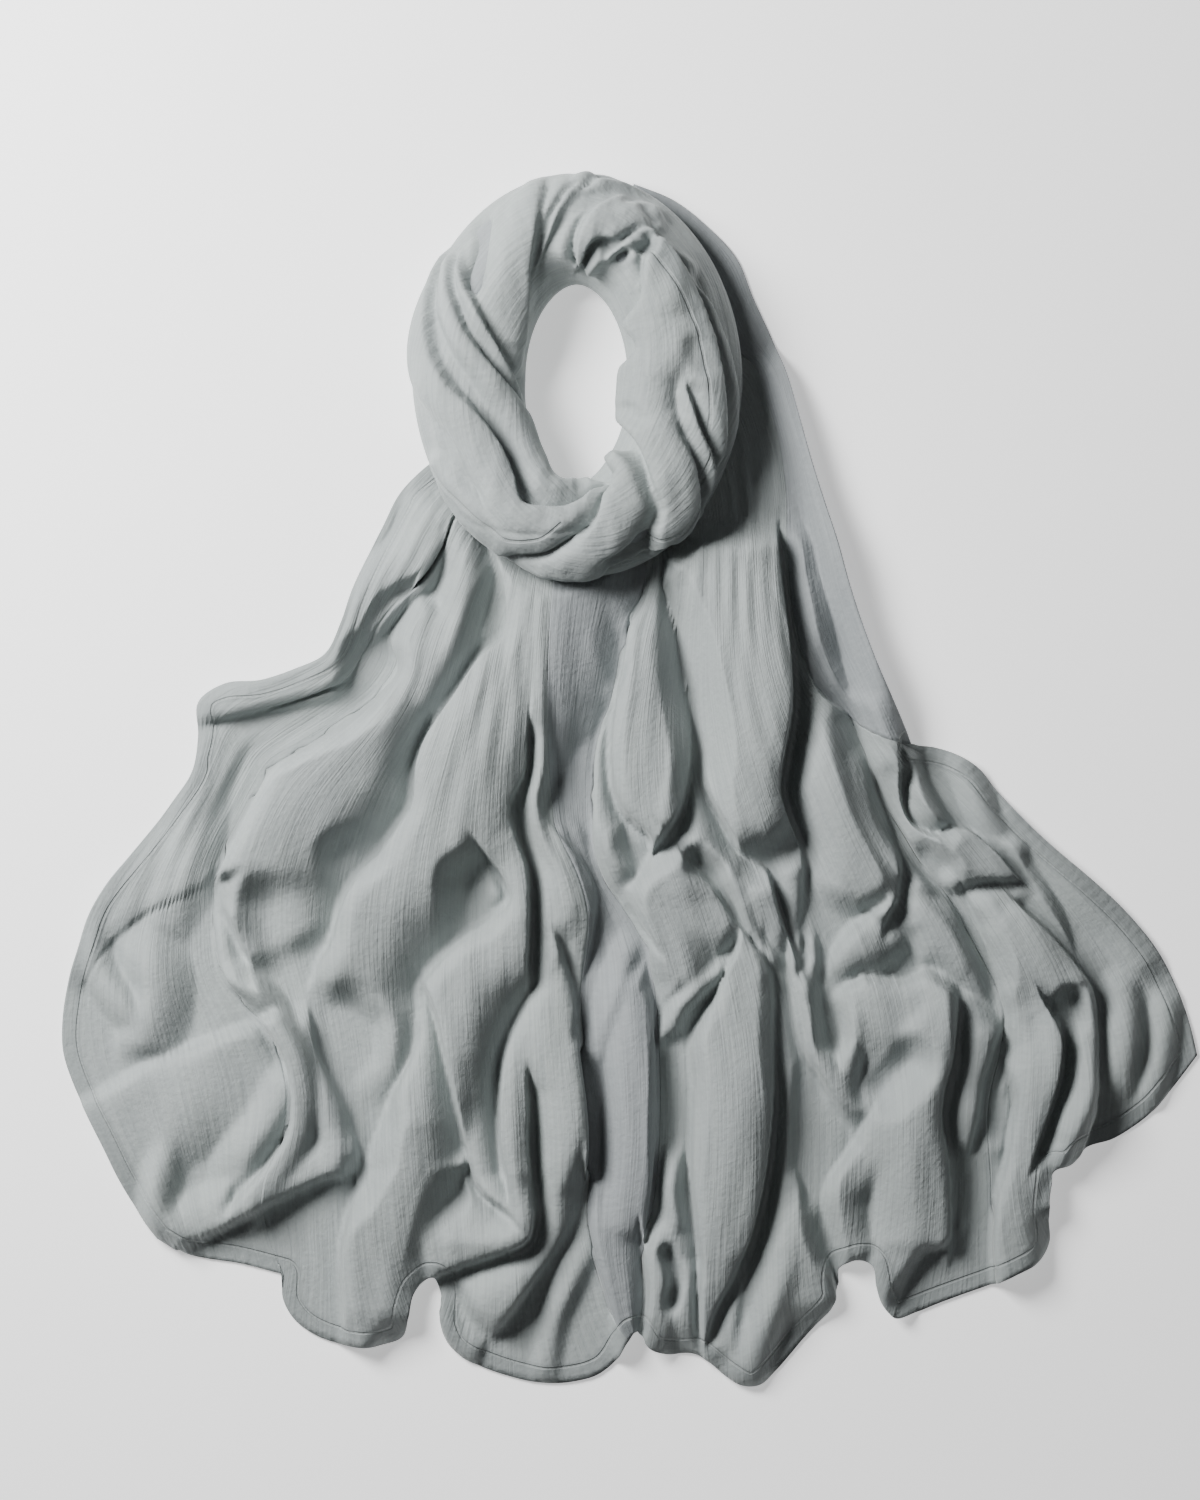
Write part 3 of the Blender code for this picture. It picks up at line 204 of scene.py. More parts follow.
# Round folds. run: the crest; left and right: half widths on a walker's left and right
roundFolds = (
    # name, left, right, height, run
    ("ribbon_rise", 14, 18, (6, 8, 6), ((440, 545), (426, 580), (395, 608), (362, 640), (338, 672))),
    ("ribbon_flat", 16, 18, (6, 7, 6), ((330, 688), (290, 696), (250, 700), (215, 704))),
    ("neck_left", 24, 26, (8, 14, 12), ((455, 520), (468, 570), (462, 600), (452, 640), (425, 700))),
    ("outer_soft", 34, 34, (4, 8, 5), ((215, 740), (195, 800), (190, 860), (160, 920))),
    ("outer_edge", 20, 20, (5, 8, 6), ((98, 905), (96, 950), (112, 990), (150, 1030))),
    ("outer_mid", 36, 30, (4, 9, 8), ((130, 930), (160, 985), (148, 1040))),
    ("bowl_ridge", 24, 20, (5, 10, 8), ((168, 1135), (158, 1175), (160, 1215), (185, 1232))),
    ("bowl_spur", 22, 34, (8, 11, 5), ((285, 1085), (270, 1120), (245, 1160), (238, 1190))),
    ("hem_roll_left", 18, 22, (8, 11, 9), ((398, 1210), (392, 1260), (385, 1310), (365, 1338))),
    ("thin_rope", 12, 12, (9, 11, 8), ((463, 1160), (435, 1170), (419, 1198), (409, 1235), (400, 1275))),
    ("bulb_crest", 20, 18, (10, 16, 10), ((516, 1060), (514, 1120), (516, 1170), (522, 1215), (500, 1238),
     (455, 1238))),
    ("second_low", 30, 24, (8, 12, 7), ((360, 930), (345, 965), (338, 985))),
    ("second_curl", 18, 18, (6, 9, 4), ((375, 985), (392, 1020), (390, 1060), (372, 1085))),
    ("middle_rope", 13, 13, (9, 15, 9), ((540, 585), (541, 680), (543, 760), (536, 805), (546, 845),
     (566, 880))),
    ("middle_dark", 14, 14, (10, 14, 11), ((519, 640), (516, 700), (515, 750))),
    ("back_light", 16, 16, (4, 7, 4), ((572, 596), (588, 640), (603, 690))),
    ("back_light_two", 20, 20, (4, 7, 4), ((612, 590), (620, 620))),
    ("fold_seven", 14, 18, (3, 6, 4), ((592, 1240), (572, 1280), (556, 1320), (548, 1360))),
    ("middle_light", 16, 20, (5, 8, 5), ((625, 955), (612, 1005), (600, 1050))),
    ("pale_hook", 11, 12, (4, 9, 9), ((676, 1150), (672, 1190), (676, 1220))),
    ("knot_left", 16, 16, (12, 12, 9), ((686, 846), (668, 868), (640, 890))),
    ("knot_up", 14, 12, (10, 13, 9), ((680, 842), (700, 838), (712, 852), (735, 885), (750, 925),
     (770, 955))),
    ("strip_arm", 14, 14, (11, 13, 7), ((728, 962), (700, 985), (680, 1005), (667, 1035))),
    ("first_low_crest", 16, 14, (6, 15, 12), ((668, 720), (672, 765), (664, 812), (660, 832))),
    ("cross_arm", 22, 16, (10, 13, 7), ((852, 1015), (848, 1050), (842, 1085))),
    ("cross_panel", 30, 26, (10, 13, 9), ((935, 1060), (920, 1110), (912, 1170), (918, 1225))),
    ("arm_strip", 16, 20, (8, 13, 9), ((1084, 1038), (1086, 1090), (1072, 1130), (1058, 1160))),
    ("right_hem_soft", 22, 24, (4, 8, 5), ((1120, 990), (1125, 1040), (1120, 1080))),
    ("right_corner_soft", 18, 16, (4, 6, 4), ((1165, 1010), (1160, 1060), (1150, 1090))),
    ("right_outer_crease", 20, 16, (4, 7, 4), ((962, 770), (980, 810), (1002, 845))),
    ("right_outer_edge", 24, 24, (3, 5, 4), ((1010, 820), (1060, 870), (1110, 920), (1140, 960))),
    ("back_outer_ridge", 30, 28, (8, 14, 12), ((780, 370), (822, 480), (845, 560), (865, 630), (882, 700),
     (893, 760))),
    ("corner_ridge", 24, 24, (7, 10, 7), ((795, 1215), (785, 1270), (760, 1330), (745, 1365))),
    ("low_flap_mouth", 16, 14, (6, 8, 6), ((880, 1262), (885, 1290), (897, 1310))),
    ("hook_mouth", 16, 16, (6, 9, 7), ((1045, 1170), (1046, 1200), (1020, 1218))),
)

# Hollows taken out of the folds. share: how much of the height goes at the deepest
hollowPlaces = (
    # name, left, right, share, run
    ("eye_hollow", 32, 28, 0.9, ((468, 880), (470, 908))),
    ("shoulder_hollow", 22, 22, 0.85, ((365, 655), (360, 690))),
    ("second_hollow", 26, 26, 0.6, ((360, 850), (345, 855))),
    ("rope_hollow", 34, 30, 0.6, ((264, 905), (274, 945), (296, 985))),
    ("curl_hollow", 34, 30, 0.6, ((350, 1010), (360, 1055), (366, 1115))),
    ("knot_hollow", 14, 14, 0.7, ((698, 862), (712, 872))),
    ("broad_hollow", 20, 18, 0.6, ((757, 868), (775, 856), (794, 843))),
    ("loop_hollow", 18, 18, 0.75, ((925, 858), (940, 868))),
    ("arch_hollow", 15, 15, 0.7, ((1068, 1000), (1070, 1018))),
    ("hook_hollow", 14, 14, 0.8, ((1000, 1100), (995, 1135))),
    ("vee_hollow", 18, 18, 0.75, ((828, 985), (832, 1035))),
    ("cross_hollow", 30, 26, 0.7, ((905, 1060), (880, 1085))),
    ("mouth_left", 12, 13, 0.9, ((291, 1283), (310, 1298), (330, 1310))),
    ("mouth_middle", 15, 15, 0.9, ((452, 1290), (464, 1316), (488, 1338))),
    ("mouth_hook", 9, 9, 0.85, ((667, 1252), (675, 1275), (671, 1300))),
    ("mouth_right", 14, 18, 0.8, ((932, 1260), (915, 1283), (904, 1303))),
    ("strip_gap", 14, 14, 0.8, ((674, 1045), (676, 1100), (672, 1140))),
)

# The ring's own layers, as rows like those above; heights are mm off the wound turns
ringRims = (
    ("outer_left_edge", "right", 5, 34, (5.0, 6.0, 5.0), ((456, 250), (442, 288), (438, 328), (441, 356),
     (455, 386), (480, 416), (500, 448), (515, 480), (524, 503), (541, 509), (561, 511), (578, 507),
     (597, 496), (612, 487))),
    ("first_pleat", "right", 5, 22, (4.5, 6.0, 5.0), ((457, 260), (457, 285), (462, 310), (472, 338),
     (490, 366), (510, 398), (526, 430), (537, 458), (547, 478), (560, 488), (580, 487), (603, 484))),
    ("second_pleat", "right", 4, 17, (4.0, 5.2, 3.0), ((464, 262), (470, 288), (480, 312), (492, 338),
     (503, 362), (517, 390), (528, 418))),
    ("soft_fold", "right", 7, 26, (2.6, 3.8, 2.4), ((548, 196), (541, 235), (532, 275), (528, 320),
     (524, 370))),
    ("rolled_edge", "right", 3, 9, (3.0, 5.4, 4.0), ((590, 190), (580, 197), (566, 214), (556, 233),
     (546, 257), (537, 282), (532, 311))),
    ("broad_right_rim", "right", 4, 40, (2.5, 4.6, 3.5), ((577, 192), (566, 200), (550, 224), (540, 250),
     (531, 282), (526, 312), (524, 345))),
    ("top_overlap", "left", 4, 20, (4.0, 5.6, 4.5), ((583, 201), (600, 197), (625, 196), (650, 202),
     (680, 220), (702, 248), (721, 283), (733, 322), (740, 370), (739, 410))),
    ("top_layer", "left", 4, 10, (3.0, 3.8, 3.0), ((600, 184), (640, 193), (675, 208), (705, 235),
     (728, 262), (742, 300))),
    ("right_hem_edge", "right", 3, 42, (5.5, 5.5, 4.5), ((628, 248), (645, 239), (657, 247), (680, 276),
     (697, 306), (709, 338), (716, 372), (719, 405), (719, 445), (713, 480), (702, 508), (683, 537),
     (655, 553))),
    ("right_hem_outer", "right", 3, 14, (2.5, 3.8, 3.0), ((690, 282), (704, 300), (718, 330), (729, 370),
     (735, 405), (736, 445), (731, 480))),
    ("right_inner_side", "left", 7, 48, (7.0, 7.5, 4.5), ((650, 250), (641, 265), (641, 300), (630, 325),
     (643, 350), (630, 372), (625, 400), (627, 430), (640, 453), (650, 490), (656, 512), (648, 535),
     (645, 551))),
    ("low_right_pleat", "right", 3, 14, (2.5, 5.0, 4.0), ((688, 398), (697, 430), (706, 455), (708, 475),
     (700, 500), (692, 525), (668, 548))),
    ("low_right_inner", "right", 3, 20, (2.5, 5.0, 4.0), ((681, 440), (692, 470), (692, 500), (683, 522),
     (665, 540))),
    ("inner_top_low", "left", 6, 30, (4.5, 5.0, 4.0), ((583, 268), (596, 248), (618, 248), (634, 240),
     (652, 238))),
    ("inner_top_left", "left", 6, 26, (3.0, 5.0, 4.0), ((612, 203), (592, 215), (577, 238), (574, 262),
     (586, 276))),
    ("front_hem_edge", "right", 3, 26, (4.5, 5.0, 3.5), ((570, 541), (545, 554), (512, 553), (490, 541),
     (462, 517), (441, 496), (425, 475))),
    ("front_cross", "right", 5, 42, (3.5, 6.0, 7.0), ((520, 556), (545, 555), (570, 542), (592, 526),
     (603, 505), (614, 490), (611, 470), (620, 460))),
    ("bottom_layer", "left", 3, 13, (3.0, 4.2, 3.0), ((455, 520), (480, 546), (515, 566), (550, 576),
     (595, 574), (640, 556), (655, 545))),
    ("bottom_outer", "left", 3, 10, (2.6, 3.2, 2.6), ((540, 575), (570, 582), (610, 583), (650, 574),
     (690, 553), (715, 525), (728, 500))),
)
ringHems = ("right_hem_edge", "front_hem_edge")
ringRounds = (
    ("broad_upper_left", 34, 24, (2.0, 3.0, 1.6), ((520, 205), (507, 255), (502, 310), (512, 362))),
    ("lip", 5, 5, (2.5, 5.5, 4.5), ((609, 263), (628, 250), (645, 240), (656, 248))),
    ("right_band_fold", 18, 22, (1.0, 2.2, 1.0), ((668, 300), (664, 340), (655, 380), (660, 430),
     (672, 480))),
    ("left_band_soft", 24, 26, (0.6, 1.6, 0.8), ((425, 330), (430, 390), (455, 440), (480, 490))),
)
# Hollows in the ring: depth in mm
ringHollows = (
    ("dark_upper_left", 9, 11, 4.5, ((484, 228), (482, 262), (477, 292))),
    ("inner_top_hollow", 9, 9, 4.0, ((643, 217), (652, 228))),
    ("under_lip", 6, 6, 5.0, ((618, 264), (634, 256), (648, 257))),
    ("right_dimple", 13, 13, 2.2, ((694, 352), (700, 372))),
    ("right_dimple_low", 11, 10, 1.8, ((642, 418), (648, 428))),
    ("right_dimple_high", 12, 12, 1.4, ((693, 322), (700, 330))),
    ("dark_low_front", 8, 10, 6.0, ((606, 562), (628, 552), (645, 540))),
    ("front_seam_line", 2.5, 2.5, 0.7, ((592, 529), (560, 535), (520, 533), (480, 519), (450, 490),
     (430, 460), (414, 436))),
)

# The plan lines along which the scarf's edge is free and hemmed
hemLines = ("left_hem", "left_low_hem", "front_left_hem", "middle_hem", "front_right_hem", "right_low_hem",
            "right_hem")


def smoothRun(points, step=3.0):
    # A smooth curve through the run's own points, about a step apart
    ends = [tuple(2 * a - b for a, b in zip(points[0], points[1])), *points,
            tuple(2 * a - b for a, b in zip(points[-1], points[-2]))]
    ends = np.array(ends, float)
    pieces = []
    for a, b, c, d in zip(ends, ends[1:], ends[2:], ends[3:]):
        count = max(2, int(np.linalg.norm(c - b) / step) + 1)
        t = np.linspace(0, 1, count, endpoint=False)[:, None]
        pieces.append(0.5 * (2 * b + (c - a) * t + (2 * a - 5 * b + 4 * c - d) * t ** 2
                             + (3 * b - a - 3 * c + d) * t ** 3))
    return np.vstack([*pieces, ends[-2]])


def tableAt(rows, where):
    return np.interp(where, [row[0] for row in rows], [row[1] for row in rows])


def placedOn(run, across, down, reach):
    # The points within reach of a run: which they are, their distance to its left, their share along
    # it, how far they lie past an end, and the run's left-hand direction there
    line = smoothRun(run)
    low, high = line.min(axis=0) - reach, line.max(axis=0) + reach
    near = np.flatnonzero((across > low[0]) & (across < high[0]) & (down > low[1]) & (down < high[1]))
    heading = np.gradient(line, axis=0)
    heading /= np.linalg.norm(heading, axis=1)[:, None]
    nearest, share, left = np.zeros(len(near), int), np.zeros(len(near)), np.zeros((len(near), 2))
    sideways = np.stack([heading[:, 1], -heading[:, 0]], axis=1)
    for start in range(0, len(near), 20000):
        part, rows = near[start:start + 20000], slice(start, start + 20000)
        away = np.sqrt((across[part, None] - line[:, 0]) ** 2 + (down[part, None] - line[:, 1]) ** 2)
        nearest[rows] = away.argmin(axis=1)
        # Blended between the nearest places, so that nothing jumps inside a bend
        weight = np.exp((away.min(axis=1)[:, None] - away) / 4)
        weight /= weight.sum(axis=1)[:, None]
        share[rows] = weight @ np.linspace(0, 1, len(line))
        left[rows] = weight @ sideways
    gapAcross, gapDown = across[near] - line[nearest, 0], down[near] - line[nearest, 1]
    turn = heading[nearest]
    ahead = gapAcross * turn[:, 0] + gapDown * turn[:, 1]
    side = gapAcross * turn[:, 1] - gapDown * turn[:, 0]
    past = np.where(nearest == 0, np.maximum(-ahead, 0), 0)
    past = np.where(nearest == len(line) - 1, np.maximum(ahead, 0), past)
    beside = np.hypot(side, np.maximum(np.abs(ahead) - 1.5, 0))
    leftward = np.where(past > 0, side, np.where(side < 0, -beside, beside))
    return near, leftward, share, past, left


def heightAlong(heights, share):
    start, middle, end = heights
    foot = np.where(share < 0.5, start, end)
    return foot + (middle - foot) * np.sin(np.pi * share)


def foldField(across, down, rims, rounds, how):
    # Heights in mm, and how far each point is drawn under the fold beside it, in plan units
    total, sunk = np.zeros(len(across)), np.ones(len(across))
    drawn = np.zeros((len(across), 2))
    nearby, nearbyTall, sides = np.full(len(across), 1e-9), np.zeros(len(across)), []
    for _, body, rise, fall, heights, run in rims:
        rise, fall = rise * how["rise"], fall * how["fall"]
        near, inward, share, past, left = placedOn(run, across, down, max(rise + fall, how["spread"]))
        if body == "right":
            inward, left = -inward, -left
        tall = heightAlong(heights, share) * np.exp(-(past / how["fade"]) ** 2)
        # How near the next fold's edge is, and how tall that fold stands
        weight = np.where(inward < 0, np.exp(np.maximum(inward, -how["spread"]) / 7 - past / 8), 0)
        nearby[near] += weight
        nearbyTall[near] += weight * tall
        sides.append((near, inward, tall, left, rise, fall))
    nextEdge, nextTall = -7 * np.log(nearby), nearbyTall / nearby
    for near, inward, tall, left, rise, fall in sides:
        span = np.maximum(inward, 0) + np.maximum(nextEdge[near], 0)
        back = np.maximum(np.minimum(span, fall), rise * 2)
        free = np.clip((span / fall - 0.8) / 0.2, 0, 1)
        up = np.clip(inward / rise, 0, 1)
        off = np.clip((inward - rise) / (back - rise), 0, 1)
        # Steep up to its edge, then gently to the crest, then down to the next fold's edge
        climb = how["edge"] + (1 - how["edge"]) * np.sin(np.pi / 2 * np.clip(off / how["crestAt"], 0, 1))
        beyond = np.clip((off - how["crestAt"]) / (1 - how["crestAt"]), 0, 1)
        low = np.minimum(tall, how["steep"] * span)
        depth = np.minimum(1, 1.4 * nextTall[near] / np.maximum(low, 1e-3))
        drop = 1 - (depth + (1 - depth) * free) * (1 - np.cos(np.pi / 2 * beyond ** how["drop"]))
        profile = np.where(inward < rise, how["edge"] * np.sqrt(1 - (1 - up) ** 2), climb * drop)
        profile = np.where(inward > fall, 0, profile)
        total[near] += (low * profile) ** how["sharpness"]
        outside = np.clip(1 + inward / how["leanReach"], 0, 1) ** 2
        pull = np.where(inward < 0, outside, np.where(inward < rise, 1 - profile / how["edge"], 0))
        drawn[near] += left * (pull * low * how["lean"] / 0.6)[:, None]
        # The cloth beside a fold's edge dips down to go under it
        dip = np.where(inward < rise * 0.5, np.exp(-(np.minimum(inward, 0) / how["gapReach"]) ** 2), 0)
        sunk[near] = np.minimum(sunk[near], 1 - how["gap"] * dip * np.minimum(low / how["gapTall"], 1))
    for _, left, right, heights, run in rounds:
        near, leftward, share, past, _ = placedOn(run, across, down, max(left, right) * 1.2)
        off = np.clip(np.abs(leftward) / (np.where(leftward > 0, left, right) * 1.15), 0, 1)
        tall = heightAlong(heights, share) * np.exp(-(past / how["fade"]) ** 2)
        total[near] += (tall * (1 - off ** 2) ** 1.4) ** how["sharpness"]
    size = np.linalg.norm(drawn, axis=1, keepdims=True)
    drawn *= np.minimum(1, how["leanMost"] / np.maximum(size, 1e-6))
    return total ** (1 / how["sharpness"]) * sunk, drawn


def hollowed(across, down, hollows, widen):
    # How deep each point lies in a hollow, as a share of that hollow's depth, soft all round
    for _, leftReach, rightReach, depth, run in hollows:
        near, leftward, _, past, _ = placedOn(run, across, down, max(leftReach, rightReach) * widen)
        off = np.hypot(leftward / np.where(leftward > 0, leftReach, rightReach),
                       past / min(leftReach, rightReach)) / widen
        yield near, depth * (1 - np.clip(off, 0, 1) ** 2) ** 2


def softWaves(across, down, size, length, width, seed):
    # Low uneven waves, longer one way than the other, always the same for the same seed
    dice = np.random.default_rng(seed)
    total = np.zeros(len(across))
    for _ in range(9):
        wide, long = width * dice.uniform(0.6, 1.7), length * dice.uniform(0.6, 1.6)
        slope = dice.choice((-1, 1))
        total += np.sin(2 * np.pi * (across / wide + down / long * slope) + dice.uniform(0, 6.28))
    return total * size / 3


def ringWeave(over, bearing):
    # The cloth runs lengthwise round the ring and a little slantwise over it, in metres of cloth
    across = over * ring["clothOver"] + bearing * ring["clothSlant"]
    return np.stack([across, bearing / 360 * ring["clothRound"]], axis=-1) / 1000


def ringPlace(bearing):
    # The tube's centre line and its outward direction, in mm from the ring's middle
    angle = np.radians(bearing)
    centre = np.stack([ring["halfAcross"] * np.cos(angle), ring["halfDown"] * np.sin(angle)], axis=-1)
    outward = np.stack([np.cos(angle) / ring["halfAcross"], np.sin(angle) / ring["halfDown"]], axis=-1)
    return centre, outward / np.linalg.norm(outward, axis=-1, keepdims=True)


def ringHalf(bearing):
    return tableAt(ringWidths, (bearing + 45) % 360 - 45)


def underRing(bearing):
    centre, outward = ringPlace(bearing)
    spot = (centre + outward * (ringHalf(bearing) - ring["tuck"])) * plan["mm"] / plan["unit"]
    return ring["middle"][0] + spot[0], ring["middle"][1] - spot[1]


def underRingLimit(across, down):
    # How high cloth may lie beside the ring and under its outer side
    line = ringPlace(np.arange(0, 360, 1.5))[0]
    x = (across - ring["middle"][0]) * plan["unit"] / plan["mm"]
    y = (ring["middle"][1] - down) * plan["unit"] / plan["mm"]
    limit = np.full(len(across), 99.0)
    near = np.flatnonzero((np.abs(x) < 130) & (np.abs(y) < 155))
    away = np.hypot(x[near, None] - line[:, 0], y[near, None] - line[:, 1]).min(axis=1)
    bearing = np.degrees(np.arctan2(y[near] / ring["halfDown"], x[near] / ring["halfAcross"]))
    beyond = away - ringHalf(bearing)
    under = ring["widest"] - 3 + np.where(beyond < 0, beyond * 1.154, ring["rising"] * beyond)
    limit[near] = np.maximum(under, lay["lowest"])
    return limit


def planLine(name):
    if name in panelTops:
        start, end = panelTops[name]
        return [underRing(bearing) for bearing in np.linspace(start, end, 9)]
    if name in edgeStarts:
        return [underRing(edgeStarts[name]), *planEdges[name]]
    return planEdges[name] if name in planEdges else planEnds[name]


def sampled(run, count):
    line = smoothRun(run)
    along = np.concatenate([[0], np.cumsum(np.linalg.norm(np.diff(line, axis=0), axis=1))])
    at = np.linspace(0, along[-1], count + 1)
    return np.stack([np.interp(at, along, line[:, k]) for k in (0, 1)], axis=1)


def seam(names, rows):
    if len(names) == 1:
        return sampled(planLine(names[0]), rows)
    first = backInnerRows if names[0] == "back_inner" else backRows
    return np.vstack([sampled(planLine(names[0]), first)[:-1], sampled(planLine(names[1]), rows - first)])


def panelNet(left, right, top, bottom, columns, rows):
    # A net of plan points inside four edges, evened out until no cell folds over
    west, east = seam(left, rows), seam(right, rows)
    north = sampled([west[0], east[0]] if top == "back_top" else planLine(top), columns)
    south = sampled(planLine(bottom), columns)
    north[0], north[-1], south[0], south[-1] = west[0], east[0], west[-1], east[-1]
    u = np.linspace(0, 1, columns + 1)[None, :, None]
    v = np.linspace(0, 1, rows + 1)[:, None, None]
    corners = (north[0] * (1 - u) + north[-1] * u) * (1 - v) + (south[0] * (1 - u) + south[-1] * u) * v
    net = west[:, None] * (1 - u) + east[:, None] * u + north[None] * (1 - v) + south[None] * v - corners
    for _ in range(160):
        byColumn = (net[1:-1, 2:] - net[1:-1, :-2]) / 2
        byRow = (net[2:, 1:-1] - net[:-2, 1:-1]) / 2
        alpha = (byRow ** 2).sum(axis=2, keepdims=True)
        beta = (byRow * byColumn).sum(axis=2, keepdims=True)
        gamma = (byColumn ** 2).sum(axis=2, keepdims=True)
        diagonal = (net[2:, 2:] - net[2:, :-2] - net[:-2, 2:] + net[:-2, :-2]) / 2
        target = (alpha * (net[1:-1, 2:] + net[1:-1, :-2]) + gamma * (net[2:, 1:-1] + net[:-2, 1:-1])
                  - beta * diagonal) / (2 * (alpha + gamma))
        net[1:-1, 1:-1] += 0.7 * (target - net[1:-1, 1:-1])
    return net


def finer(net, times):
    # The same net with each cell cut into times by times, on smooth curves
    for _ in range(2):
        padded = np.concatenate([2 * net[:1] - net[1:2], net, 2 * net[-1:] - net[-2:-1]])
        a, b, c, d = padded[:-3], padded[1:-2], padded[2:-1], padded[3:]
        t = (np.arange(times) / times)[None, :, None, None]
        a, b, c, d = (part[:, None] for part in (a, b, c, d))
        cut = 0.5 * (2 * b + (c - a) * t + (2 * a - 5 * b + 4 * c - d) * t ** 2 + (3 * b - a - 3 * c + d) * t ** 3)
        net = np.concatenate([cut.reshape(-1, *net.shape[1:]), net[-1:]]).swapaxes(0, 1)
    return net


def evened(net):
    padded = np.pad(net, [(1, 1), (1, 1)] + [(0, 0)] * (net.ndim - 2), mode="edge")
    rows = (padded[:-2] + 2 * padded[1:-1] + padded[2:]) / 4
    return (rows[:, :-2] + 2 * rows[:, 1:-1] + rows[:, 2:]) / 4


def evenedInside(net):
    # Each edge is evened along itself only, so that neighbouring stretches still meet
    smooth = evened(net)
    for edge in ((0, slice(1, -1)), (-1, slice(1, -1)), (slice(1, -1), 0), (slice(1, -1), -1)):
        line = net[:, edge[1]] if edge[0] == slice(1, -1) else net[edge[0]]
        smooth[edge] = (line[:-2] + 2 * line[1:-1] + line[2:]) / 4
    for corner in ((0, 0), (0, -1), (-1, 0), (-1, -1)):
        smooth[corner] = net[corner]
    return smooth


def edgeAway(across, down, names):
    # Distance from the nearest hem and place along it, both in mm
    away, along = np.full(len(across), 90.0), np.zeros(len(across))
    start = 0.0
    for name in names:
        line = smoothRun(planLine(name), 2.0)
        length = np.concatenate([[0], np.cumsum(np.linalg.norm(np.diff(line, axis=0), axis=1))])
        low, high = line.min(axis=0) - 60, line.max(axis=0) + 60
        near = np.flatnonzero((across > low[0]) & (across < high[0]) & (down > low[1]) & (down < high[1]))
        for begin in range(0, len(near), 8000):
            part = near[begin:begin + 8000]
            gap = np.hypot(across[part, None] - line[:, 0], down[part, None] - line[:, 1])
            best = gap.argmin(axis=1)
            closest = gap.min(axis=1) * 0.6
            closer = closest < away[part]
            away[part[closer]] = closest[closer]
            along[part[closer]] = (start + length[best[closer]]) * 0.6
        start += length[-1]
    return away, along


def gridMesh(name, points, maps, closedRows=False, closedColumns=False):
    # A grid of points as quads, with one UV map for each entry of maps
    rows, columns = points.shape[:2]
    index = np.arange(rows * columns).reshape(rows, columns)
    if closedRows:
        index = np.vstack([index, index[:1]])
    if closedColumns:
        index = np.hstack([index, index[:, :1]])
    corners = [index[1:, :-1], index[1:, 1:], index[:-1, 1:], index[:-1, :-1]]
    faces = np.stack(corners, axis=-1).reshape(-1, 4)
    # The maps have one row or column more than a closed grid, so that a pattern runs on across the join
    spots = np.arange(index.size).reshape(index.shape)
    corners = np.stack([spots[1:, :-1], spots[1:, 1:], spots[:-1, 1:], spots[:-1, :-1]], axis=-1).reshape(-1)
    mesh = bpy.data.meshes.new(name)
    mesh.from_pydata(points.reshape(-1, 3).tolist(), [], faces.tolist())
    for mapName, values in maps.items():
        layer = mesh.uv_layers.new(name=mapName)
        flat = values.reshape(-1, 2)[corners]
        layer.data.foreach_set("uv", flat.ravel())
    mesh.shade_smooth()
    mesh.update()
    obj = bpy.data.objects.new(name, mesh)
    bpy.context.scene.collection.objects.link(obj)
    return obj


def applyModifier(obj, kind, **settings):
    modifier = obj.modifiers.new(kind.lower(), kind)
    for key, value in settings.items():
        setattr(modifier, key, value)
    bpy.ops.object.select_all(action="DESELECT")
    obj.select_set(True)
    bpy.context.view_layer.objects.active = obj
    bpy.ops.object.modifier_apply(modifier=modifier.name)


def surfaceArea(points):
    a, b = points[1:, 1:] - points[:-1, :-1], points[1:, :-1] - points[:-1, 1:]
    return np.linalg.norm(np.cross(a, b), axis=2).sum() / 2


def onTable(across, down, height):
    return np.stack([(across - plan["middle"][0]) * plan["unit"], (plan["middle"][1] - down) * plan["unit"],
                     height * plan["mm"]], axis=-1)


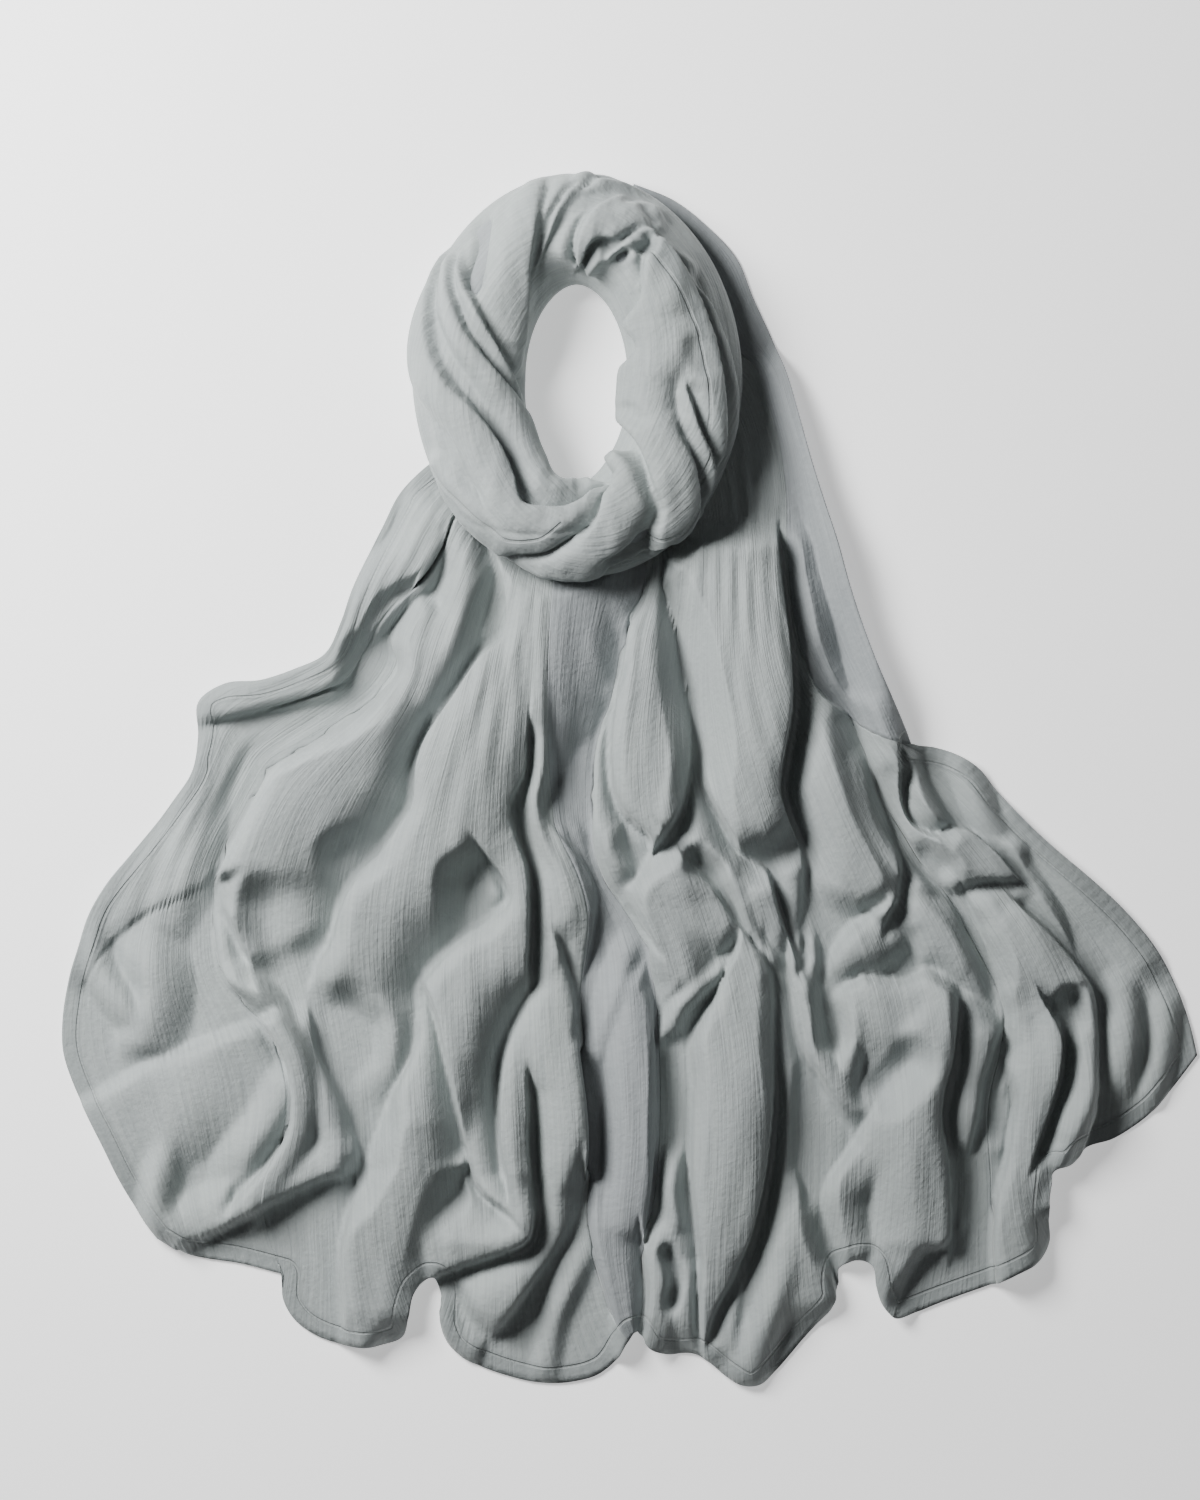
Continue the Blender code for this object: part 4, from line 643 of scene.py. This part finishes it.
def makePanel(row):
    # One spread stretch: a thin cloth laid over its folds, hemmed where its edge is free
    name, left, right, top, bottom, columns, rows = row
    net = finer(panelNet(left, right, top, bottom, columns, rows), lay["fineness"])
    shape = net.shape[:2]
    across, down = net[..., 0].ravel(), net[..., 1].ravel()
    height, drawn = foldField(across, down, rimFolds, roundFolds, spreadFolds)
    height *= lay["foldScale"]
    middle, reach = lay["swellMiddle"], lay["swellReach"]
    far = ((across - middle[0]) / reach[0]) ** 2 + ((down - middle[1]) / reach[1]) ** 2
    height = np.sqrt(height ** 2 + (lay["swell"] * np.clip(1 - far, 0, 1)) ** 2)
    for near, share in hollowed(across, down, hollowPlaces, 1.3):
        height[near] *= 1 - share
    away, along = edgeAway(across, down, hemLines)
    height += softWaves(across, down, lay["roll"], 260, 110, lay["seed"]) * np.clip(away / 30, 0.25, 1)
    step = np.linalg.norm(np.diff(net, axis=0), axis=2) * 0.6
    alongRows = np.vstack([np.zeros(shape[1]), np.cumsum(step, axis=0)])
    wide = np.linalg.norm(np.diff(net, axis=1), axis=2).sum(axis=1).mean() * 0.6 * 1.3
    weave = np.stack([np.broadcast_to(np.linspace(0, wide, shape[1])[None], shape), alongRows], axis=-1)
    # Small creases run along the stretch, and die out at its seams
    inside = np.minimum(np.arange(shape[1]), np.arange(shape[1])[::-1]) / 10
    crease = softWaves(weave[..., 0].ravel(), weave[..., 1].ravel(), lay["crinkle"], 130, 27,
                       lay["seed"] + 1)
    height += crease * np.broadcast_to(np.clip(inside, 0, 1)[None], shape).ravel()
    inBand = np.clip((hem["width"] - away) / 2.0, 0, 1)
    height += inBand * (hem["rise"] + hem["pucker"] * np.sin(2 * np.pi * along / hem["puckerLength"]))
    height = np.clip(height + 0.4, lay["lowest"], None)
    # Neighbours meet at the same points, so only the inner points are smoothed
    height, drawn = height.reshape(shape), drawn.reshape(*shape, 2)
    for _ in range(lay["smoothing"]):
        height = evenedInside(height)
    for _ in range(2 * lay["smoothing"]):
        drawn = evenedInside(drawn)
    height, drawn = height.ravel(), drawn.reshape(-1, 2)
    beside = underRingLimit(across, down)
    height = np.minimum(height, beside)
    drawn[beside < 14] *= 0.2
    points = onTable(across + drawn[:, 0], down + drawn[:, 1], height).reshape(*shape, 3)
    hemMap = np.stack([along, away], axis=-1).reshape(*shape, 2) / 1000
    obj = gridMesh(name.replace("_", " ").title().replace(" ", ""), points,
                   dict(weaveMap=weave / 1000, hemMap=hemMap))
    applyModifier(obj, "SOLIDIFY", thickness=lay["wall"] * plan["mm"], offset=-1, use_rim=True,
                  use_quality_normals=True)
    area = surfaceArea(points)
    print("stretch", obj.name, "flat area m2", round(float(area), 4), "faces", len(obj.data.polygons))
    return obj, area


def ringPoints(bearing, over, lift):
    # Points on the ring's outside, lift mm off its wound turns
    centre, outward = ringPlace(bearing)
    half = ringHalf(bearing) - ring["cloth"] + lift
    angle = np.radians(over)
    flat = centre + outward * (half * np.cos(angle))[..., None]
    upper = ring["top"] - ring["widest"] + lift
    lower = ring["widest"] - 1.0
    height = ring["widest"] + np.sin(angle) * np.where(np.sin(angle) >= 0, upper, lower)
    return np.stack([flat[..., 0] + (ring["middle"][0] - plan["middle"][0]) * 0.6,
                     flat[..., 1] + (plan["middle"][1] - ring["middle"][1]) * 0.6, height], axis=-1)


def makeRingWrap():
    # The turns that show: one cloth laid in overlapping layers over the wound turns
    bearing = np.linspace(0, 360, ring["bearings"] + 1)[:, None]
    over = np.concatenate([np.linspace(ring["overStart"], -5, ring["oversUnder"]),
                           np.linspace(0, 180, ring["oversTop"]),
                           np.linspace(185, ring["overEnd"], ring["oversUnder"])])[None]
    bearing, over = np.broadcast_arrays(bearing, over)
    base = ringPoints(bearing, over, np.full(bearing.shape, 2.5))
    across = (base[..., 0] / 0.6 + plan["middle"][0]).ravel()
    down = (plan["middle"][1] - base[..., 1] / 0.6).ravel()
    lift, drawn = foldField(across, down, ringRims, ringRounds, ringFolds)
    lift *= ring["layerScale"]
    for near, depth in hollowed(across, down, ringHollows, 1.2):
        lift[near] -= 1.4 * depth
    lift += softWaves(across, down, 0.4, 90, 30, lay["seed"] + 2)
    shown = np.clip(np.sin(np.radians(over)).ravel() / 0.5, 0, 1)
    shown = shown ** 2 * (3 - 2 * shown)
    lift = ring["cloth"] - 0.6 + (lift - ring["flat"]) * shown
    lift = lift.reshape(bearing.shape)
    lift = np.vstack([lift[-2:-1], lift[:-1], lift[:1], lift[1:2]])
    lift = evened(lift)[1:-1]
    points = ringPoints(bearing, over, lift)
    drawn = (drawn * shown[:, None]).reshape(*bearing.shape, 2)
    drawn = evened(np.concatenate([drawn[-2:-1], drawn, drawn[1:2]]))[1:-1]
    points[..., :2] += drawn * (0.6, -0.6)
    points *= plan["mm"]
    weave = ringWeave(over, bearing)
    hemAway, hemAlong = np.full(len(across), 90.0), np.zeros(len(across))
    for name, body, _, _, _, run in ringRims:
        if name in ringHems:
            near, inward, share, past, _ = placedOn(run, across, down, 30)
            inward = np.where(past > 0, 99, inward if body == "left" else -inward) * 0.6
            closer = (inward > -1.0) & (inward < hemAway[near])
            hemAway[near[closer]] = np.maximum(inward[closer], 0)
            hemAlong[near[closer]] = share[closer] * 240
    hemMap = np.stack([hemAlong, hemAway], axis=-1).reshape(*bearing.shape, 2) / 1000
    obj = gridMesh("RingWrap", points[:-1], dict(weaveMap=weave, hemMap=hemMap), closedRows=True)
    applyModifier(obj, "SOLIDIFY", thickness=lay["wall"] * plan["mm"], offset=-1, use_rim=True,
                  use_quality_normals=True)
    area = surfaceArea(points)
    print("ring wrap flat area m2", round(float(area), 4), "faces", len(obj.data.polygons))
    return obj, area


def makeRingTurns():
    # The hidden turns, with the soft twist of the wound cloth on the side that lies down
    bearing = np.linspace(0, 360, ring["turnsBearings"] + 1)[:, None]
    over = np.linspace(0, 360, ring["turnsOvers"] + 1)[None]
    bearing, over = np.broadcast_arrays(bearing, over)
    twist = 0.8 * np.sin(np.radians(over * 5 + bearing * 3)) + 0.4 * np.sin(np.radians(over * 9 - bearing * 4))
    points = ringPoints(bearing, over, -1.6 + twist)
    under = np.sin(np.radians(over)) < 0
    points[..., 2] = np.where(under, np.maximum(points[..., 2], 0.6), points[..., 2])
    weave = ringWeave(over, bearing)
    noHem = np.full(bearing.shape + (2,), 0.09)
    obj = gridMesh("RingTurns", points[:-1, :-1] * plan["mm"], dict(weaveMap=weave, hemMap=noHem),
                   closedRows=True, closedColumns=True)
    print("ring turns faces", len(obj.data.polygons))
    return obj


def shade(hexText):
    # sRGB hex to linear
    parts = [int(hexText[i:i + 2], 16) / 255 for i in (1, 3, 5)]
    return tuple(c / 12.92 if c <= 0.04045 else ((c + 0.055) / 1.055) ** 2.4 for c in parts) + (1.0,)


def addNode(tree, kind, settings=None, links=None, **sockets):
    # One node, with its settings, its sockets' values and what feeds it
    node = tree.nodes.new(kind)
    for key, value in (settings or {}).items():
        setattr(node, key, value)
    for key, value in sockets.items():
        node.inputs[key.replace("_", " ")].default_value = value
    for key, source in (links or {}).items():
        tree.links.new(source, node.inputs[key])
    return node


# Viscose voile: matt and soft, woven from uneven slubbed yarn, so short streaks run along the scarf. The inside colour
# and its streak are a darker copy of the cloth colours: painted shade, for the stretches that lie low in the ring's
# shadow
voile = dict(cloth="#9ca3a0", streak="#929997", shadeTone="#95999d", inside="#8e9394",
             paintedShadeStreak="#838889", hem="#787e7e", stitch="#949a99", slubWidth=1.0, slubLength=30.0, yarn=1.3, crepe=4.0, roughness=0.7, sheen=0.3, sheenRoughness=0.45)


def voileMaterial(name, slubSeed, cloth, streak):
    material = bpy.data.materials.new(name)
    material.use_nodes = True
    tree = material.node_tree
    shader = tree.nodes["Principled BSDF"]
    weave = addNode(tree, "ShaderNodeUVMap", dict(uv_map="weaveMap"))
    hemAt = addNode(tree, "ShaderNodeUVMap", dict(uv_map="hemMap"))
    hemParts = addNode(tree, "ShaderNodeSeparateXYZ", links={"Vector": hemAt.outputs[0]})
    # Slubs: each a thread or two wide and some centimetres long, drawn coarser than yarn so that they show
    slubPlace = addNode(tree, "ShaderNodeMapping", links={"Vector": weave.outputs[0]})
    slubPlace.inputs["Scale"].default_value = (1000 / voile["slubWidth"] / 2, 1000 / voile["slubLength"] / 2, 1)
    slubPlace.inputs["Location"].default_value = (slubSeed, slubSeed * 0.7, slubSeed * 0.3)
    slub = addNode(tree, "ShaderNodeTexNoise", dict(noise_dimensions="2D"), {"Vector": slubPlace.outputs[0]},
                   Scale=1.0, Detail=2.0, Roughness=0.6)
    crossPlace = addNode(tree, "ShaderNodeMapping", links={"Vector": weave.outputs[0]})
    crossPlace.inputs["Scale"].default_value = (1000 / 26.0, 1000 / voile["yarn"] / 2, 1)
    cross = addNode(tree, "ShaderNodeTexNoise", dict(noise_dimensions="2D"), {"Vector": crossPlace.outputs[0]},
                    Scale=1.0, Detail=1.0, Roughness=0.5)
    both = addNode(tree, "ShaderNodeMix", dict(data_type="FLOAT"),
                   {2: slub.outputs["Fac"], 3: cross.outputs["Fac"]}, Factor=0.18)
    spread = addNode(tree, "ShaderNodeMapRange", links={"Value": both.outputs[0]})
    spread.inputs["From Min"].default_value = 0.38
    spread.inputs["From Max"].default_value = 0.66
    ground = addNode(tree, "ShaderNodeMix", dict(data_type="RGBA"), {"Factor": spread.outputs[0]})
    ground.inputs[6].default_value = shade(streak)
    ground.inputs[7].default_value = shade(cloth)
    # Large faint clouding, as cloth has where it was pressed and handled
    place = addNode(tree, "ShaderNodeTexCoord")
    cloud = addNode(tree, "ShaderNodeTexNoise", links={"Vector": place.outputs["Object"]}, Scale=14.0, Detail=3.0)
    cloudAmount = addNode(tree, "ShaderNodeMapRange", links={"Value": cloud.outputs["Fac"]})
    cloudAmount.inputs["To Max"].default_value = 0.5
    clouded = addNode(tree, "ShaderNodeMix", dict(data_type="RGBA"),
                      {"Factor": cloudAmount.outputs[0], 6: ground.outputs[2]})
    clouded.inputs[7].default_value = shade(voile["shadeTone"])
    # The turned hem is two layers, so it reads darker, with a run of stitches near its inner edge
    inHem = addNode(tree, "ShaderNodeMapRange", links={"Value": hemParts.outputs["Y"]})
    for key, value in (("From Min", 0.0125), ("From Max", 0.0105), ("To Min", 0.0), ("To Max", 0.4)):
        inHem.inputs[key].default_value = value
    hemmed = addNode(tree, "ShaderNodeMix", dict(data_type="RGBA"), {"Factor": inHem.outputs[0], 6: clouded.outputs[2]})
    hemmed.inputs[7].default_value = shade(voile["hem"])
    fromLine = addNode(tree, "ShaderNodeMath", dict(operation="SUBTRACT"), {0: hemParts.outputs["Y"]})
    fromLine.inputs[1].default_value = hem["stitchLine"] / 1000
    offLine = addNode(tree, "ShaderNodeMath", dict(operation="ABSOLUTE"), {0: fromLine.outputs[0]})
    onLine = addNode(tree, "ShaderNodeMapRange", links={"Value": offLine.outputs[0]})
    for key, value in (("From Min", 0.0009), ("From Max", 0.0004), ("To Min", 0.0), ("To Max", 1.0)):
        onLine.inputs[key].default_value = value
    alongStitch = addNode(tree, "ShaderNodeMath", dict(operation="MULTIPLY"), {0: hemParts.outputs["X"]})
    alongStitch.inputs[1].default_value = 1000 / 3.2
    within = addNode(tree, "ShaderNodeMath", dict(operation="FRACT"), {0: alongStitch.outputs[0]})
    dash = addNode(tree, "ShaderNodeMath", dict(operation="LESS_THAN"), {0: within.outputs[0]})
    dash.inputs[1].default_value = 0.68
    stitch = addNode(tree, "ShaderNodeMath", dict(operation="MULTIPLY"), {0: onLine.outputs[0], 1: dash.outputs[0]})
    stitched = addNode(tree, "ShaderNodeMix", dict(data_type="RGBA"), {"Factor": stitch.outputs[0], 6: hemmed.outputs[2]})
    stitched.inputs[7].default_value = shade(voile["stitch"])
    tree.links.new(stitched.outputs[2], shader.inputs["Base Color"])
    shader.inputs["Roughness"].default_value = voile["roughness"]
    shader.inputs["Specular IOR Level"].default_value = 0.28
    shader.inputs["Sheen Weight"].default_value = voile["sheen"]
    shader.inputs["Sheen Roughness"].default_value = voile["sheenRoughness"]
    shader.inputs["Sheen Tint"].default_value = shade("#dfe4e2")
    # Yarn relief: the slubs stand out a little, and the stitch line sinks in
    sink = addNode(tree, "ShaderNodeMath", dict(operation="MULTIPLY"), {0: onLine.outputs[0]})
    sink.inputs[1].default_value = -1.2
    # Crepe: the fine uneven pucker of washed viscose, 3 mm and up
    crepe = addNode(tree, "ShaderNodeTexNoise", links={"Vector": place.outputs["Object"]},
                    Scale=1000 / voile["crepe"], Detail=3.0, Roughness=0.55)
    puckered = addNode(tree, "ShaderNodeMath", dict(operation="ADD"), {0: both.outputs[0], 1: crepe.outputs["Fac"]})
    relief = addNode(tree, "ShaderNodeMath", dict(operation="ADD"), {0: puckered.outputs[0], 1: sink.outputs[0]})
    bump = addNode(tree, "ShaderNodeBump", links={"Height": relief.outputs[0]}, Strength=0.8, Distance=0.0007)
    tree.links.new(bump.outputs[0], shader.inputs["Normal"])
    return material


def placeCamera():
    # Straight above the laid scarf, as far as a tall stand; 1200 x 1500 units of plan fill the frame
    view = dict(distance=3.0, tall=0.9, across=600, down=750)
    data = bpy.data.cameras.new("aboveTable")
    data.sensor_width = 36
    data.lens = 36 * view["distance"] / view["tall"]
    camera = bpy.data.objects.new("aboveTable", data)
    spot = onTable(view["across"], view["down"], np.array(view["distance"] * 1000.0))
    camera.location = Vector(spot)
    bpy.context.scene.collection.objects.link(camera)
    bpy.context.scene.camera = camera


def placeLights():
    lights = (
        # name, place, size, strength: a broad window light from the upper left, a weak one across from it
        ("windowLight", (-0.98, 0.7, 0.98), 0.7, 60.0),
        ("fillLight", (0.7, -0.3, 1.9), 1.2, 2.6),
    )
    for name, place, size, strength in lights:
        data = bpy.data.lights.new(name, "AREA")
        data.size = size
        data.energy = strength
        lamp = bpy.data.objects.new(name, data)
        lamp.location = place
        lamp.rotation_euler = (-Vector(place)).to_track_quat("-Z", "Y").to_euler()
        bpy.context.scene.collection.objects.link(lamp)
    world = bpy.data.worlds.new("studio")
    world.use_nodes = True
    world.node_tree.nodes["Background"].inputs[0].default_value = shade("#ece8f2")
    world.node_tree.nodes["Background"].inputs[1].default_value = 0.04
    bpy.context.scene.world = world


def placeTable():
    mesh = bpy.data.meshes.new("paleTable")
    half, below = 4.0, -0.0004
    mesh.from_pydata([(-half, -half, below), (half, -half, below), (half, half, below), (-half, half, below)],
                     [], [(0, 1, 2, 3)])
    table = bpy.data.objects.new("paleTable", mesh)
    bpy.context.scene.collection.objects.link(table)
    material = bpy.data.materials.new("lit white tabletop")
    material.use_nodes = True
    tree = material.node_tree
    grain = addNode(tree, "ShaderNodeTexNoise", Scale=60.0, Detail=2.0)
    tone = addNode(tree, "ShaderNodeMix", dict(data_type="RGBA"), {"Factor": grain.outputs["Fac"]})
    tone.inputs[6].default_value = shade("#fdfdfd")
    tone.inputs[7].default_value = shade("#fafafa")
    shader = tree.nodes["Principled BSDF"]
    tree.links.new(tone.outputs[2], shader.inputs["Base Color"])
    shader.inputs["Roughness"].default_value = 0.9
    shader.inputs["Emission Color"].default_value = shade("#ffffff")
    shader.inputs["Emission Strength"].default_value = 0.55
    mesh.materials.append(material)


placeCamera()
placeLights()
placeTable()
print("camera, lights and table are placed")

frontVoile = voileMaterial("slubbed viscose voile", 1.7, voile["cloth"], voile["streak"])
# A darker copy of the voile, painted shade: it darkens the middle and back stretches, which lie in the ring's shadow,
# and the hidden turns
shadedVoileCopy = voileMaterial("slubbed viscose voile, darker copy for painted shade", 5.1, voile["inside"], voile["paintedShadeStreak"])
for row in panels:
    stretch, area = makePanel(row)
    # The middle and back stretches get the darker copy, which is painted shade
    inPaintedShade = row[0] in ("middle_stretch", "back_stretch")
    stretch.data.materials.append(shadedVoileCopy if inPaintedShade else frontVoile)
    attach(stretch, "root")
    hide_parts(row[0])
print("the spread stretches are laid")

turns = makeRingTurns()
turns.data.materials.append(shadedVoileCopy)
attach(turns, "root")
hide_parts("ring_core")
wrap, area = makeRingWrap()
wrap.data.materials.append(frontVoile)
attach(wrap, "root")
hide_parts(*[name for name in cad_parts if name.startswith("ring_") and name != "ring_core"])
print("the ring is wound")
